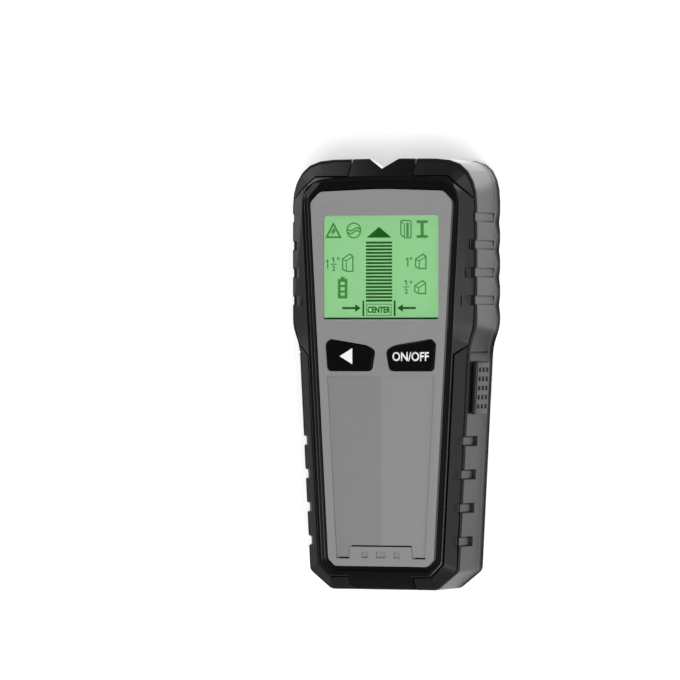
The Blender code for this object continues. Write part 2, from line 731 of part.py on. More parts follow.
def side_dips(name, side, spans, ramp, depth, bottom, top):
    """Shallow dips across the side of the head, each with a ramp at both ends."""
    floor = side * (HEAD_WIDTH / 2 - depth)
    outside = side * (HEAD_WIDTH / 2 + depth * RAMP_PAST_SKIN)
    past = ramp * RAMP_PAST_SKIN
    dips = []
    for upper, lower in spans:
        dip = [
            (floor, upper - ramp),
            (outside, upper + past),
            (outside, lower - past),
            (floor, lower + ramp),
        ]
        dips.append(slab("dip", dip, bottom, top))
    return gathered(name, dips)


def head_groove_cutter(side):
    """Finger grooves in the grip at the side of the head."""
    spans = [head_groove_span(index) for index in range(HEAD_GROOVES)]
    name = ("right" if side > 0 else "left") + "_head_grooves"
    return side_dips(name, side, spans, HEAD_GROOVE_RAMP, HEAD_GROOVE_DEPTH, 0, THICKNESS + REACH)


def scallop_cutter(side):
    """Scallops in the back cover's edge, each one centred on the foot of a finger groove."""
    feet = [head_groove_span(index)[1] for index in range(HEAD_GROOVES)]
    spans = [(foot + SCALLOP_HALF_LENGTH, foot - SCALLOP_HALF_LENGTH) for foot in feet]
    ramp = SCALLOP_HALF_LENGTH - SCALLOP_FLAT / 2
    name = ("right" if side > 0 else "left") + "_scallops"
    return side_dips(name, side, spans, ramp, SCALLOP_DEPTH, -REACH, PARTING_HEIGHT + REACH)


def rim_notch_cutter(side):
    """The same grooves where they run on over the rim: each is longer than the last and ends in a slit."""
    notches = []
    upright = Matrix.Rotation(math.radians(90), 4, "X")
    for index in range(HEAD_GROOVES):
        upper, lower = head_groove_span(index)
        reach = RIM_NOTCH_FIRST + index * RIM_NOTCH_GROWTH
        profile = [
            (-REACH, REACH),
            (reach, REACH),
            (reach, -RIM_SLIT_DEPTH),
            (reach - RIM_SLIT_WIDTH, -RIM_SLIT_DEPTH),
            (reach - RIM_SLIT_WIDTH, -RIM_NOTCH_DEPTH),
            (-REACH, -RIM_NOTCH_DEPTH),
        ]
        notch = slab("notch", profile, -HEAD_GROOVE_LENGTH / 2, HEAD_GROOVE_LENGTH / 2)
        middle = Matrix.Translation((0, (upper + lower) / 2, 0))
        notches.append(turned(notch, rim_frame(side) @ middle @ upright))
    return gathered(("right" if side > 0 else "left") + "_rim_notches", notches)


def border_line_cutter(name):
    """A thin line along the border, which carries on the groove between the grip and the rim."""
    low, high = GRIP_SPLIT - GROOVE / 2, GRIP_SPLIT + GROOVE / 2
    line = box(name, (-HEAD_WIDTH, FOOT - REACH, low), (HEAD_WIDTH, TOP + REACH, high))
    cut(line, inner_block(name + "_core", BORDER_LINE_DEPTH))
    return line


def ledge_line_cutter(side):
    """A thin upright line across the grip, just below the slope of the waist."""
    half = LEDGE_LINE_WIDTH / 2
    line = box("line", (-LEDGE_LINE_DEPTH, -half, -REACH), (REACH, half, THICKNESS + REACH))
    turned(line, side_frame(side, WAIST - LEDGE_LINE_BELOW_WAIST, 0))
    return gathered(("right" if side > 0 else "left") + "_ledge_line", [line])


def slot_profile(depth, run_out):
    """A side slot in section: how deep it is in the wall, and how far it runs out over the rim."""
    rise = run_out * math.tan(rim_slope())
    return [
        (REACH, SIDE_SLOT_FOOT),
        (-depth, SIDE_SLOT_FOOT),
        (-depth, BORDER_HEIGHT - BORDER_EDGE),
        (-run_out, BORDER_HEIGHT + rise),
        (-run_out, THICKNESS + REACH),
        (REACH, THICKNESS + REACH),
    ]


def side_slot_cutters(side):
    """Slots low in each side wall, with ramps at both ends, running out over the rim."""
    slots = []
    upright = Matrix.Rotation(math.radians(90), 4, "X")
    half = SIDE_SLOT_LENGTH / 2
    inner = half - SIDE_SLOT_RAMP
    outer = half + SIDE_SLOT_RAMP * RAMP_PAST_SKIN
    past = SIDE_SLOT_DEPTH * RAMP_PAST_SKIN
    deep = slot_profile(SIDE_SLOT_DEPTH, SIDE_SLOT_RUN_OUT)
    shallow = slot_profile(-past, SIDE_SLOT_RUN_OUT - SIDE_SLOT_DEPTH - past)
    ends = [(-outer, shallow), (-inner, deep), (inner, deep), (outer, shallow)]
    for index in range(SIDE_SLOTS):
        y = WAIST - SIDE_SLOT_FIRST - index * SIDE_SLOT_PITCH
        slots.append(turned(loft("slot", ends), side_frame(side, y, 0) @ upright))
    return gathered(("right" if side > 0 else "left") + "_side_slots", slots)


def trough_cutter(name):
    """The finger trough in the top end, below the notched lip."""
    loop = [
        (-TROUGH_HALF_WIDTH - TROUGH_FLANK, TOP + TROUGH_DEPTH),
        (TROUGH_HALF_WIDTH + TROUGH_FLANK, TOP + TROUGH_DEPTH),
        (TROUGH_HALF_WIDTH - TROUGH_FLANK, TOP - TROUGH_DEPTH),
        (-TROUGH_HALF_WIDTH + TROUGH_FLANK, TOP - TROUGH_DEPTH),
    ]
    return slab(name, loop, -REACH, TROUGH_TOP)


def notch_cutter(name):
    """The V of the marking notch."""
    loop = [
        (-2 * NOTCH_HALF_WIDTH, TOP + NOTCH_DEPTH),
        (2 * NOTCH_HALF_WIDTH, TOP + NOTCH_DEPTH),
        (0, TOP - NOTCH_DEPTH),
    ]
    return slab(name, loop, TROUGH_TOP - BITE, THICKNESS + REACH)


def rectangle(centre_x, centre_y, width, length):
    """A clockwise rectangle."""
    left, right = centre_x - width / 2, centre_x + width / 2
    low, high = centre_y - length / 2, centre_y + length / 2
    return [(left, high), (right, high), (right, low), (left, low)]


def key_loop(side):
    """Corners of one key: the top edge falls towards the middle of the unit."""
    loop = [
        (KEY_INNER_X + KEY_KNEE_IN, KEY_TOP - KEY_KNEE_DROP),
        (KEY_OUTER_X - KEY_CORNER, KEY_TOP),
        (KEY_OUTER_X, KEY_TOP - KEY_CORNER),
        (KEY_OUTER_X - KEY_TAPER, KEY_FOOT),
        (KEY_INNER_X + KEY_HEEL_IN, KEY_FOOT),
        (KEY_INNER_X, KEY_TOP - KEY_HEEL_DROP),
    ]
    if side < 0:
        return [(-x, y) for x, y in reversed(loop)]
    return loop


def key_outline(side, outwards=0.0):
    """The outline of one key, moved outwards."""
    bends = KEY_BENDS if side > 0 else KEY_BENDS[::-1]
    return rounded(inset_loop(key_loop(side), -outwards), bends)


def panel_cutter():
    """The recessed lower panel: two shallow slopes that meet in a crease, with a tab at the foot."""
    edge = inset_loop(plate_loop(), PANEL_SIDE_MARGIN)
    top = WAIST - PANEL_BELOW_WAIST
    foot = FOOT + PLATE_FOOT_MARGIN + PANEL_FOOT_MARGIN
    tab = foot + PANEL_TAB_LENGTH
    half = [
        (0, top),
        (along_side(edge[2], edge[3], top), top),
        (along_side(edge[2], edge[3], foot), foot),
        (PANEL_TAB_WIDTH / 2 + GROOVE, foot),
        (PANEL_TAB_WIDTH / 2, tab),
        (0, tab),
    ]
    mesh = bmesh.new()
    full_width = half[1][0]
    for side in (-1, 1):
        floor = []
        lid = []
        for x, y in half:
            depth = PANEL_DEPTH_TOP + (PANEL_DEPTH_FOOT - PANEL_DEPTH_TOP) * (top - y) / (top - foot)
            depth += PANEL_CREASE * x / full_width
            floor.append(mesh.verts.new((side * x, y, PLATE_TOP_FACE - depth)))
            lid.append(mesh.verts.new((side * x, y, PLATE_TOP_FACE + REACH)))
        mesh.faces.new(floor)
        mesh.faces.new(lid)
        for here in range(len(half) - 1):
            mesh.faces.new((floor[here], floor[here + 1], lid[here + 1], lid[here]))
    bmesh.ops.remove_doubles(mesh, verts=mesh.verts, dist=SAME_POINT)
    return as_object("panel_recess", mesh)


def make_face_plate(finish):
    """Grey plate: display window with a rebate for the pane, key holes and the lower panel."""
    plate = slab("face_plate", plate_outline(plate_loop()), PLATE_UNDERSIDE, PLATE_TOP_FACE, finish)
    soften(plate, PLATE_EDGE)
    crease = TOP - CREASE_FROM_TOP
    top = TOP - PLATE_TOP_MARGIN + PLATE_ARCH
    fall = CREASE_DROP / (top - crease)
    bend = box("plate_bend", (-HEAD_WIDTH, 0, 0), (HEAD_WIDTH, top - crease + REACH, REACH))
    tilt = Matrix.Rotation(-math.atan(fall), 4, "X")
    turned(bend, Matrix.Translation((0, crease, PLATE_TOP_FACE)) @ tilt)
    window = slab(
        "window_hole",
        rounded(rectangle(0, WINDOW_CENTRE, WINDOW_WIDTH, WINDOW_LENGTH), [WINDOW_CORNER] * 4),
        PLATE_UNDERSIDE - REACH, PLATE_TOP_FACE + REACH)
    seat = 2 * (LENS_MARGIN + GAP)
    rebate = slab(
        "pane_rebate", rectangle(0, WINDOW_CENTRE, WINDOW_WIDTH + seat, WINDOW_LENGTH + seat),
        PLATE_UNDERSIDE - REACH, PLATE_TOP_FACE - WINDOW_WEB)
    holes = gathered("key_holes", [
        slab("hole", key_outline(side, KEY_CLEARANCE), PLATE_UNDERSIDE - REACH, PLATE_TOP_FACE + REACH)
        for side in (-1, 1)])
    foot = FOOT + PLATE_FOOT_MARGIN + PANEL_FOOT_MARGIN
    tab = foot + PANEL_TAB_LENGTH
    edge = inset_loop(plate_loop(), PANEL_SIDE_MARGIN)
    slit_end = along_side(edge[2], edge[3], foot) - PANEL_SLIT
    slit_start = PANEL_TAB_WIDTH / 2 + PANEL_SLIT_FROM_TAB
    low, high = PLATE_UNDERSIDE - REACH, PLATE_TOP_FACE + REACH
    slits = [box("slit", (-PANEL_TAB_WIDTH / 2, tab, low), (PANEL_TAB_WIDTH / 2, tab + PANEL_SLIT, high))]
    for ends in ((slit_start, slit_end), (-slit_end, -slit_start)):
        slits.append(box("slit", (ends[0], foot, low), (ends[1], foot + PANEL_SLIT, high)))
    middle = foot + TAB_WINDOW_LENGTH / 2 + GROOVE / 2
    tab_windows = gathered("tab_windows", [
        slab("dip", rectangle(x, middle, width, TAB_WINDOW_LENGTH),
             PLATE_TOP_FACE - TAB_WINDOW_DEPTH, PLATE_TOP_FACE + REACH)
        for x, width in zip(TAB_WINDOW_CENTRES, TAB_WINDOW_WIDTHS)])
    cut(plate, bend, window, rebate, holes, panel_cutter(), tab_windows, gathered("panel_slits", slits))


def make_display(finishes):
    """The clear pane, the display glass, its light guide and the frame that holds them."""
    pane_margin = 2 * LENS_MARGIN
    pane = rectangle(0, WINDOW_CENTRE, WINDOW_WIDTH + pane_margin, WINDOW_LENGTH + pane_margin)
    slab("display_lens", pane, LENS_TOP - LENS_THICKNESS, LENS_TOP, finishes["clear"])
    slab("lcd_panel", pane, LCD_TOP - LCD_THICKNESS, LCD_TOP, finishes["display"])
    slab("backlight", pane, BACKLIGHT_TOP - BACKLIGHT_THICKNESS, BACKLIGHT_TOP, finishes["white"])
    frame = slab(
        "lcd_frame", inset_loop(pane, -GAP - LCD_FRAME_WALL), BOARD_TOP + GAP, LCD_TOP, finishes["white"])
    hole = slab("lcd_frame_hole", inset_loop(pane, -GAP), BOARD_TOP - REACH, LCD_TOP + REACH)
    cut(frame, hole)


def make_key(name, side, finish):
    """A key cap with a flange that keeps it behind the plate and a post for its switch."""
    bottom = PLATE_UNDERSIDE - GAP - KEY_FLANGE_THICKNESS
    cap = slab(name, key_outline(side), bottom, PLATE_TOP_FACE + KEY_PROUD, finish)
    soften(cap, KEY_EDGE)
    flange = slab(name + "_flange", key_outline(side, KEY_FLANGE), bottom, bottom + KEY_FLANGE_THICKNESS)
    x = side * KEY_CENTRE_X
    post_low = SWITCH_HIGH + STEM_PROUD + GAP
    post_high = bottom + KEY_FLANGE_THICKNESS / 2
    post = rod(name + "_post", (x, KEY_CENTRE_Y, post_low), (x, KEY_CENTRE_Y, post_high), KEY_POST_RADIUS)
    put_origin(cap, (x, KEY_CENTRE_Y, PLATE_TOP_FACE))
    add(cap, flange, post)


def make_push_switch(name, side, body_finish, stem_finish):
    """A push switch on the board and the stem that the key presses."""
    x = side * KEY_CENTRE_X
    y = KEY_CENTRE_Y
    half = PUSH_SWITCH_SIZE / 2
    body = box(name, (x - half, y - half, SWITCH_LOW), (x + half, y + half, SWITCH_HIGH), body_finish)
    well_low = SWITCH_LOW + STEM_SEAT
    well = rod(name + "_well", (x, y, well_low), (x, y, SWITCH_HIGH + REACH), STEM_RADIUS + GAP)
    cut(body, well)
    stem_low = well_low + KEY_TRAVEL + GAP
    stem = rod(
        name + "_stem", (x, y, stem_low), (x, y, SWITCH_HIGH + STEM_PROUD), STEM_RADIUS, stem_finish)
    put_origin(stem, (x, KEY_CENTRE_Y, PLATE_TOP_FACE))


def case_screw_places():
    """The four case screws: two in the head, two at the foot."""
    top = TOP - TOP_SCREW_FROM_TOP
    foot = FOOT + FOOT_SCREW_FROM_FOOT
    return [(-TOP_SCREW_X, top), (TOP_SCREW_X, top), (-FOOT_SCREW_X, foot), (FOOT_SCREW_X, foot)]


def board_screw_places():
    """The three screws of the main board."""
    top = TOP - BOARD_FROM_TOP - BOARD_SCREW_EDGE
    return [(-BOARD_SCREW_X, top), (BOARD_SCREW_X, top), (0, BOARD_FOOT + BOARD_SCREW_EDGE + GAP)]


def standoff_places():
    """Where the sensor board rests on the back cover."""
    across = SENSOR_HALF_WIDTH - 2 * STANDOFF_RADIUS
    ends = (SENSOR_FOOT + 2 * STANDOFF_RADIUS, SENSOR_HEAD - 2 * STANDOFF_RADIUS)
    return [(side * across, y) for side in (-1, 1) for y in ends]


def knob_frame():
    """The side wall's frame at the middle of the slide switch."""
    return side_frame(1, WAIST - KNOB_BELOW_WAIST, KNOB_HEIGHT)


def slider_slot_cutter():
    """The slot through the side wall for the knob's neck, as long as its travel needs."""
    half = NECK_LENGTH / 2 + GAP
    depth = NECK_DEPTH / 2 + GAP
    slot = box("slider_slot", (-CAVITY_INSET - BITE, -half, -depth), (REACH, half + KNOB_TRAVEL, depth))
    return turned(slot, knob_frame())


def make_front_shell(finish):
    """Front half of the housing: rim, lip, channel, plate seat, screw posts and the marking notch."""
    shell = front_block("front_shell", finish)
    for side, name in ((1, "right"), (-1, "left")):
        zone = grip_area(name + "_grip_room", side, GROOVE / 2)
        cut(zone, inner_block(name + "_under_grip", GRIP_THICKNESS + GAP))
        cut(shell, zone)
    cavity = loft("front_cavity", [(height, cavity_outline(0, height)) for height in (0, CEILING)])
    channel = slab("channel", plate_outline(channel_loop()), CHANNEL_FLOOR, THICKNESS + REACH)
    seat = slab("plate_seat", plate_outline(inset_loop(plate_loop(), -GAP)), SEAT, THICKNESS + REACH)
    cut(shell, cavity, channel, seat)

    margin = 2 * (LENS_MARGIN + 2 * GAP + LCD_FRAME_WALL)
    display = slab(
        "display_opening", rectangle(0, WINDOW_CENTRE, WINDOW_WIDTH + margin, WINDOW_LENGTH + margin),
        CEILING - REACH, SEAT + REACH)
    keys = gathered("key_openings", [
        slab("opening", key_outline(side, KEY_FLANGE + KEY_CLEARANCE), CEILING - REACH / 2, SEAT + REACH / 2)
        for side in (-1, 1)])
    posts = gathered("case_posts", [
        rod("post", (x, y, FRONT_START), (x, y, CEILING + BITE), BOSS_RADIUS)
        for x, y in case_screw_places()])
    board_posts = gathered("board_posts", [
        rod("post", (x, y, BOARD_TOP + GAP), (x, y, CEILING + BITE), BOARD_POST_RADIUS)
        for x, y in board_screw_places()])
    cut(shell, display, keys)
    add(shell, posts, board_posts)

    screw_top = SCREW_SINK + CASE_SCREW_HEAD_HEIGHT + CASE_SCREW_LENGTH + GAP
    board_screw_top = BOARD_BOTTOM + BOARD_SCREW_LENGTH + GAP
    bores = gathered("post_bores", [
        rod("bore", (x, y, 0), (x, y, screw_top), CASE_SCREW_RADIUS + GAP)
        for x, y in case_screw_places()])
    thread_room = BOARD_SCREW_RADIUS + GAP
    board_bores = gathered("board_post_bores", [
        rod("bore", (x, y, BOARD_BOTTOM), (x, y, board_screw_top), thread_room, sides=SMALL_SIDES)
        for x, y in board_screw_places()])
    cut(shell, bores, board_bores, trough_cutter("front_trough"), notch_cutter("marking_notch"))
    cut(shell, rim_notch_cutter(1), rim_notch_cutter(-1), slider_slot_cutter())


def make_grip(name, side, finish):
    """Soft skin over one side: a C that wraps from the rim down to the parting line."""
    grip = front_block(name, finish)
    keep(grip, grip_area(name + "_area", side, -GROOVE / 2))
    cut(grip, inner_block(name + "_inside", GRIP_THICKNESS))
    cut(grip, trough_cutter(name + "_trough"), border_line_cutter(name + "_border_line"))
    cut(grip, head_groove_cutter(side), side_slot_cutters(side), ledge_line_cutter(side))
    if side > 0:
        cut(grip, slider_slot_cutter())


def hinge_rod(name, reach, radius):
    """A round bar on the battery door's hinge line, as far to the left as to the right."""
    return rod(name, (-reach, HINGE_Y, HINGE_RADIUS), (reach, HINGE_Y, HINGE_RADIUS), radius)


def make_back_cover(finish):
    """Rear half: floor, wall, locating rib, battery bay, screw wells and standoffs."""
    sections = []
    for step in range(BACK_EDGE_STEPS + 1):
        angle = math.pi / 2 * step / BACK_EDGE_STEPS
        inset = BACK_EDGE_RADIUS * (1 - math.sin(angle))
        sections.append((BACK_EDGE_RADIUS * (1 - math.cos(angle)), body_outline(inset)))
    sections.append((BACK_END, body_outline()))
    cover = loft("back_cover", sections, finish)
    inside = trough_outline(BACK_WALL)
    cut(cover, loft("back_cavity", [(BACK_WALL, inside), (BACK_END + REACH, inside)]))

    sunk = BACK_WALL - BITE
    rib_ends = (sunk, FRONT_START + SHELL_WALL)
    rib = loft("locating_rib", [(height, cavity_outline(GAP, height)) for height in rib_ends])
    rib_inset = GAP + RIB_WIDTH
    cut(rib, loft("rib_hollow", [(height, cavity_outline(rib_inset, height)) for height in (0, REACH)]))
    pad_half = DOOR_WIDTH / 2 + PAD_MARGIN
    pad = box(
        "bay_pad", (-pad_half, HINGE_Y - PAD_MARGIN, sunk), (pad_half, DOOR_END + PAD_LEDGE, PAD_HEIGHT))
    wall = BAY_HALF_WIDTH + BAY_WALL
    bay = box(
        "bay_walls", (-wall, BAY_FOOT - BAY_WALL, sunk), (wall, BAY_HEAD + BAY_WALL, BAY_TOP + BAY_WALL))
    bosses = gathered("screw_wells", [
        rod("boss", (x, y, sunk), (x, y, BACK_END), BACK_BOSS_RADIUS)
        for x, y in case_screw_places()])
    standoffs = gathered("standoffs", [
        rod("standoff", (x, y, sunk), (x, y, SENSOR_BOTTOM - GAP), STANDOFF_RADIUS, sides=SMALL_SIDES)
        for x, y in standoff_places()])
    add(cover, rib, pad, bay, bosses, standoffs)

    room = box("bay_room", (-BAY_HALF_WIDTH, BAY_FOOT, -REACH), (BAY_HALF_WIDTH, BAY_HEAD, BAY_TOP))
    recess_half = DOOR_WIDTH / 2 + GAP
    recess = box("door_recess", (-recess_half, HINGE_Y, -REACH), (recess_half, DOOR_END + GAP, DOOR_INSIDE))
    barrel = hinge_rod("hinge_groove", recess_half, HINGE_RADIUS + GAP)
    mouth = box("hinge_mouth", (-recess_half, HINGE_Y - HINGE_RADIUS - GAP, -REACH),
                (recess_half, HINGE_Y + BITE, HINGE_RADIUS))
    sockets = hinge_rod("hinge_sockets", DOOR_WIDTH / 2 + HINGE_PIN_LENGTH + GAP, HINGE_PIN_RADIUS + GAP)
    cut(cover, room, recess, barrel, mouth, sockets)

    well_top = SCREW_SINK + CASE_SCREW_HEAD_HEIGHT
    wells = gathered("screw_heads", [
        rod("well", (x, y, -REACH), (x, y, well_top), CASE_SCREW_HEAD_RADIUS + GAP)
        for x, y in case_screw_places()])
    bores = gathered("screw_bores", [
        rod("bore", (x, y, 0), (x, y, REACH), CASE_SCREW_RADIUS + GAP) for x, y in case_screw_places()])
    lead_half = LEAD_SPACING / 2 + 2 * LEAD_RADIUS
    lead_hole = box("lead_opening", (-lead_half, BAY_HEAD - BITE, STUD_AXIS - LEAD_HOLE_HEIGHT / 2),
                    (lead_half, BAY_HEAD + BAY_WALL + BITE, STUD_AXIS + LEAD_HOLE_HEIGHT / 2))
    cut(cover, wells, bores, lead_hole, trough_cutter("back_trough"), scallop_cutter(1), scallop_cutter(-1))


def make_battery_door(finish):
    """The door in the back: a plate with a rolled end on two pins and a sprung thumb tab."""
    half = DOOR_WIDTH / 2
    door = box("battery_door", (-half, HINGE_Y, 0), (half, DOOR_END, DOOR_THICKNESS), finish)
    barrel = hinge_rod("door_barrel", half, HINGE_RADIUS)
    pins = hinge_rod("door_pins", half + HINGE_PIN_LENGTH, HINGE_PIN_RADIUS)
    tab_half = DOOR_TAB_WIDTH / 2
    start = DOOR_END - DOOR_TAB_LENGTH
    slits = gathered("door_slits", [
        box("slit", (side * tab_half - DOOR_SLIT / 2, start, -REACH),
            (side * tab_half + DOOR_SLIT / 2, DOOR_END + REACH, REACH)) for side in (-1, 1)])
    line_half = tab_half - 2 * DOOR_SLIT
    lines = gathered("door_grip_lines", [
        box("line", (-line_half, start + number * DOOR_LINE_PITCH, -REACH),
            (line_half, start + number * DOOR_LINE_PITCH + DOOR_SLIT, DOOR_SLIT / 2))
        for number in range(1, DOOR_LINES + 1)])
    put_origin(door, (0, HINGE_Y, HINGE_RADIUS))
    add(door, barrel, pins)
    cut(door, slits, lines)


def make_battery(finish):
    """A 9 V block with its two snap studs."""
    half = BATTERY_WIDTH / 2
    top = BATTERY_BOTTOM + BATTERY_HEIGHT
    battery = box("battery", (-half, BATTERY_FOOT, BATTERY_BOTTOM), (half, BATTERY_HEAD, top), finish)
    soften(battery, BATTERY_EDGE)
    low, high = BATTERY_HEAD - BITE, BATTERY_HEAD + STUD_HEIGHT
    studs = gathered("battery_studs", [
        rod("stud", (x, low, STUD_AXIS), (x, high, STUD_AXIS), STUD_RADIUS)
        for x in (-STUD_SPACING / 2, STUD_SPACING / 2)])
    add(battery, studs)


def make_battery_snap(finish):
    """The contact plate that clips over the studs."""
    low = BATTERY_HEAD + GAP
    half = BATTERY_WIDTH / 2 - GAP
    snap = box("battery_snap", (-half, low, STUD_AXIS - SNAP_HEIGHT / 2),
               (half, low + SNAP_THICKNESS, STUD_AXIS + SNAP_HEIGHT / 2), finish)
    soften(snap, 2 * GAP)
    sockets = gathered("snap_sockets", [
        rod("socket", (x, low - REACH, STUD_AXIS), (x, low + STUD_HEIGHT, STUD_AXIS), STUD_RADIUS + GAP)
        for x in (-STUD_SPACING / 2, STUD_SPACING / 2)])
    cut(snap, sockets)


def make_battery_lead(name, side, finish):
    """A lead from the contact plate, up to the underside of the main board."""
    x = side * LEAD_SPACING / 2
    start_y = BATTERY_HEAD + GAP + SNAP_THICKNESS + GAP
    end_y = BOARD_FOOT + LEAD_RUN
    end_z = BOARD_BOTTOM - GAP
    route = [
        Vector((x, start_y, STUD_AXIS)),
        Vector((x, (start_y + 3 * end_y) / 4, STUD_AXIS)),
        Vector((x, end_y, STUD_AXIS)),
        Vector((x, end_y, end_z)),
    ]
    curve = bpy.data.curves.new(name, "CURVE")
    curve.dimensions = "3D"
    curve.bevel_depth = LEAD_RADIUS
    curve.bevel_resolution = 2
    curve.use_fill_caps = True
    spline = curve.splines.new("POLY")
    spline.points.add(LEAD_STEPS)
    for step in range(LEAD_STEPS + 1):
        part = step / LEAD_STEPS
        rest = 1 - part
        weights = (rest ** 3, 3 * part * rest ** 2, 3 * part ** 2 * rest, part ** 3)
        point = sum((spot * weight for spot, weight in zip(route, weights)), Vector())
        spline.points[step].co = (*point, 1)
    lead = bpy.data.objects.new(name, curve)
    place(lead, finish)


def make_main_board(finish):
    """Circuit board behind the display and the keys, narrower between the head screws."""
    shoulder = TOP - TOP_SCREW_FROM_TOP - BOSS_RADIUS - 4 * GAP
    loop = mirrored([
        (0, TOP - BOARD_FROM_TOP),
        (BOARD_NECK_HALF_WIDTH, TOP - BOARD_FROM_TOP),
        (BOARD_NECK_HALF_WIDTH, shoulder),
        (BOARD_HALF_WIDTH, shoulder),
        (BOARD_HALF_WIDTH, BOARD_FOOT),
    ])
    board = slab("main_board", loop, BOARD_BOTTOM, BOARD_TOP, finish)
    low, high = BOARD_BOTTOM - BITE, BOARD_TOP + BITE
    holes = gathered("board_holes", [
        rod("hole", (x, y, low), (x, y, high), BOARD_SCREW_RADIUS + GAP, sides=SMALL_SIDES)
        for x, y in board_screw_places()])
    cut(board, holes)


def make_inner_parts(finishes):
    """Sensor board, link, chip and buzzer."""
    sensor = rectangle(0, (SENSOR_HEAD + SENSOR_FOOT) / 2, 2 * SENSOR_HALF_WIDTH, SENSOR_LENGTH)
    slab("sensor_board", sensor, SENSOR_BOTTOM, SENSOR_TOP, finishes["board"])
    half = LINK_LENGTH / 2
    box("board_link", (-half, LINK_Y - LINK_WIDTH / 2, SENSOR_TOP + GAP),
        (half, LINK_Y + LINK_WIDTH / 2, BOARD_BOTTOM - GAP), finishes["black"])
    x, y = CHIP_X, LINK_Y + CHIP_FROM_LINK
    half = CHIP_SIZE / 2
    top = BOARD_BOTTOM - GAP
    low = top - CHIP_THICKNESS
    box("processor", (x - half, y - half, low), (x + half, y + half, top), finishes["black"])
    x, y = BUZZER_X, LINK_Y + BUZZER_FROM_LINK
    low = top - BUZZER_HEIGHT
    buzzer = rod("buzzer", (x, y, low), (x, y, top), BUZZER_RADIUS, finishes["black"])
    soften(buzzer, GAP, 1)
    deep = top - BUZZER_HEIGHT / 2
    cut(buzzer, rod("sound_hole", (x, y, low - BITE), (x, y, deep), SOUND_HOLE_RADIUS, sides=SMALL_SIDES))


def dimple_cutter():
    """Rows and columns of square dimples in the knob's face."""
    dimples = []
    for row in range(DIMPLE_ROWS):
        for column in range(DIMPLE_COLUMNS):
            y = (row - (DIMPLE_ROWS - 1) / 2) * DIMPLE_ROW_PITCH
            z = (column - (DIMPLE_COLUMNS - 1) / 2) * DIMPLE_COLUMN_PITCH
            low = (KNOB_PROUD - DIMPLE_DEPTH, y - DIMPLE_LENGTH / 2, z - DIMPLE_WIDTH / 2)
            high = (REACH, y + DIMPLE_LENGTH / 2, z + DIMPLE_WIDTH / 2)
            dimples.append(box("dimple", low, high))
    return gathered("knob_dimples", dimples)


def make_mode_slider(finish):
    """The dimpled knob, with a neck through the wall and a fork that holds the switch's lever."""
    frame = knob_frame()
    half = KNOB_LENGTH / 2
    depth = KNOB_DEPTH / 2
    knob = box("mode_slider", (GAP, -half, -depth), (KNOB_PROUD, half, depth), finish)
    turned(knob, frame)
    soften(knob, KNOB_EDGE)
    neck = box("slider_neck", (NECK_END - FORK_THICKNESS / 2, -NECK_LENGTH / 2, -NECK_DEPTH / 2),
               (GAP + BITE, NECK_LENGTH / 2, NECK_DEPTH / 2))
    fork = box("slider_fork", (FORK_END, -FORK_LENGTH / 2, -FORK_DEPTH / 2),
               (NECK_END, FORK_LENGTH / 2, FORK_DEPTH / 2))
    jaw = box("slider_jaw", (FORK_END - BITE, -LEVER_WIDTH / 2 - GAP, -REACH),
              (NECK_END - 2 * GAP, LEVER_WIDTH / 2 + GAP, REACH))
    dimples = dimple_cutter()
    for piece in (neck, fork, jaw, dimples):
        turned(piece, frame)
    put_origin(knob, frame.translation)
    add(knob, neck, fork)
    cut(knob, jaw, dimples)


def make_mode_switch(case_finish, lever_finish):
    """The slide switch under the board and its lever, which stands in the fork."""
    frame = knob_frame()
    lever_end = FORK_END - LEVER_REACH
    lever = box("mode_switch_lever", (lever_end, -LEVER_WIDTH / 2, -LEVER_DEPTH / 2),
                (NECK_END - 3 * GAP, LEVER_WIDTH / 2, LEVER_DEPTH / 2), lever_finish)
    turned(lever, frame)
    put_origin(lever, frame.translation)
    start = FORK_END - 2 * GAP
    top = LEVER_BELOW_CASE_TOP
    low = (KNOB_TRAVEL - MODE_SWITCH_LENGTH) / 2
    high = (KNOB_TRAVEL + MODE_SWITCH_LENGTH) / 2
    case = box("mode_switch", (start - MODE_SWITCH_WIDTH, low, top - MODE_SWITCH_HEIGHT),
               (start, high, top), case_finish)
    track = box("lever_track", (lever_end - GAP, -LEVER_WIDTH / 2 - GAP, -LEVER_DEPTH / 2 - GAP),
                (REACH, LEVER_WIDTH / 2 + GAP + KNOB_TRAVEL, LEVER_DEPTH / 2 + GAP))
    turned(case, frame)
    cut(case, turned(track, frame))


def make_screw(name, x, y, head_low, head_height, head_radius, radius, length, finish):
    """A cross-head screw that goes in from the back."""
    head_top = head_low + head_height
    screw = rod(name, (x, y, head_low), (x, y, head_top), head_radius, finish)
    shank_low = head_top - head_height / 2
    shank = rod(
        name + "_shank", (x, y, shank_low), (x, y, head_top + length), radius, sides=SMALL_SIDES)
    add(screw, shank)
    deep = head_low + min(DRIVE_DEPTH, head_height / 2)
    for across, along in ((DRIVE_RADIUS, DRIVE_ARM), (DRIVE_ARM, DRIVE_RADIUS)):
        low = (x - across, y - along, head_low - BITE)
        cut(screw, box(name + "_drive", low, (x + across, y + along, deep)))


def make_screws(finish):
    """Four screws through the back cover and three through the main board."""
    for number, (x, y) in enumerate(case_screw_places(), 1):
        make_screw(f"case_screw_{number}", x, y, SCREW_SINK - GAP, CASE_SCREW_HEAD_HEIGHT,
                   CASE_SCREW_HEAD_RADIUS, CASE_SCREW_RADIUS, CASE_SCREW_LENGTH, finish)
    for number, (x, y) in enumerate(board_screw_places(), 1):
        head_low = BOARD_BOTTOM - GAP - BOARD_SCREW_HEAD_HEIGHT
        make_screw(f"board_screw_{number}", x, y, head_low, BOARD_SCREW_HEAD_HEIGHT,
                   BOARD_SCREW_HEAD_RADIUS, BOARD_SCREW_RADIUS, BOARD_SCREW_LENGTH, finish)


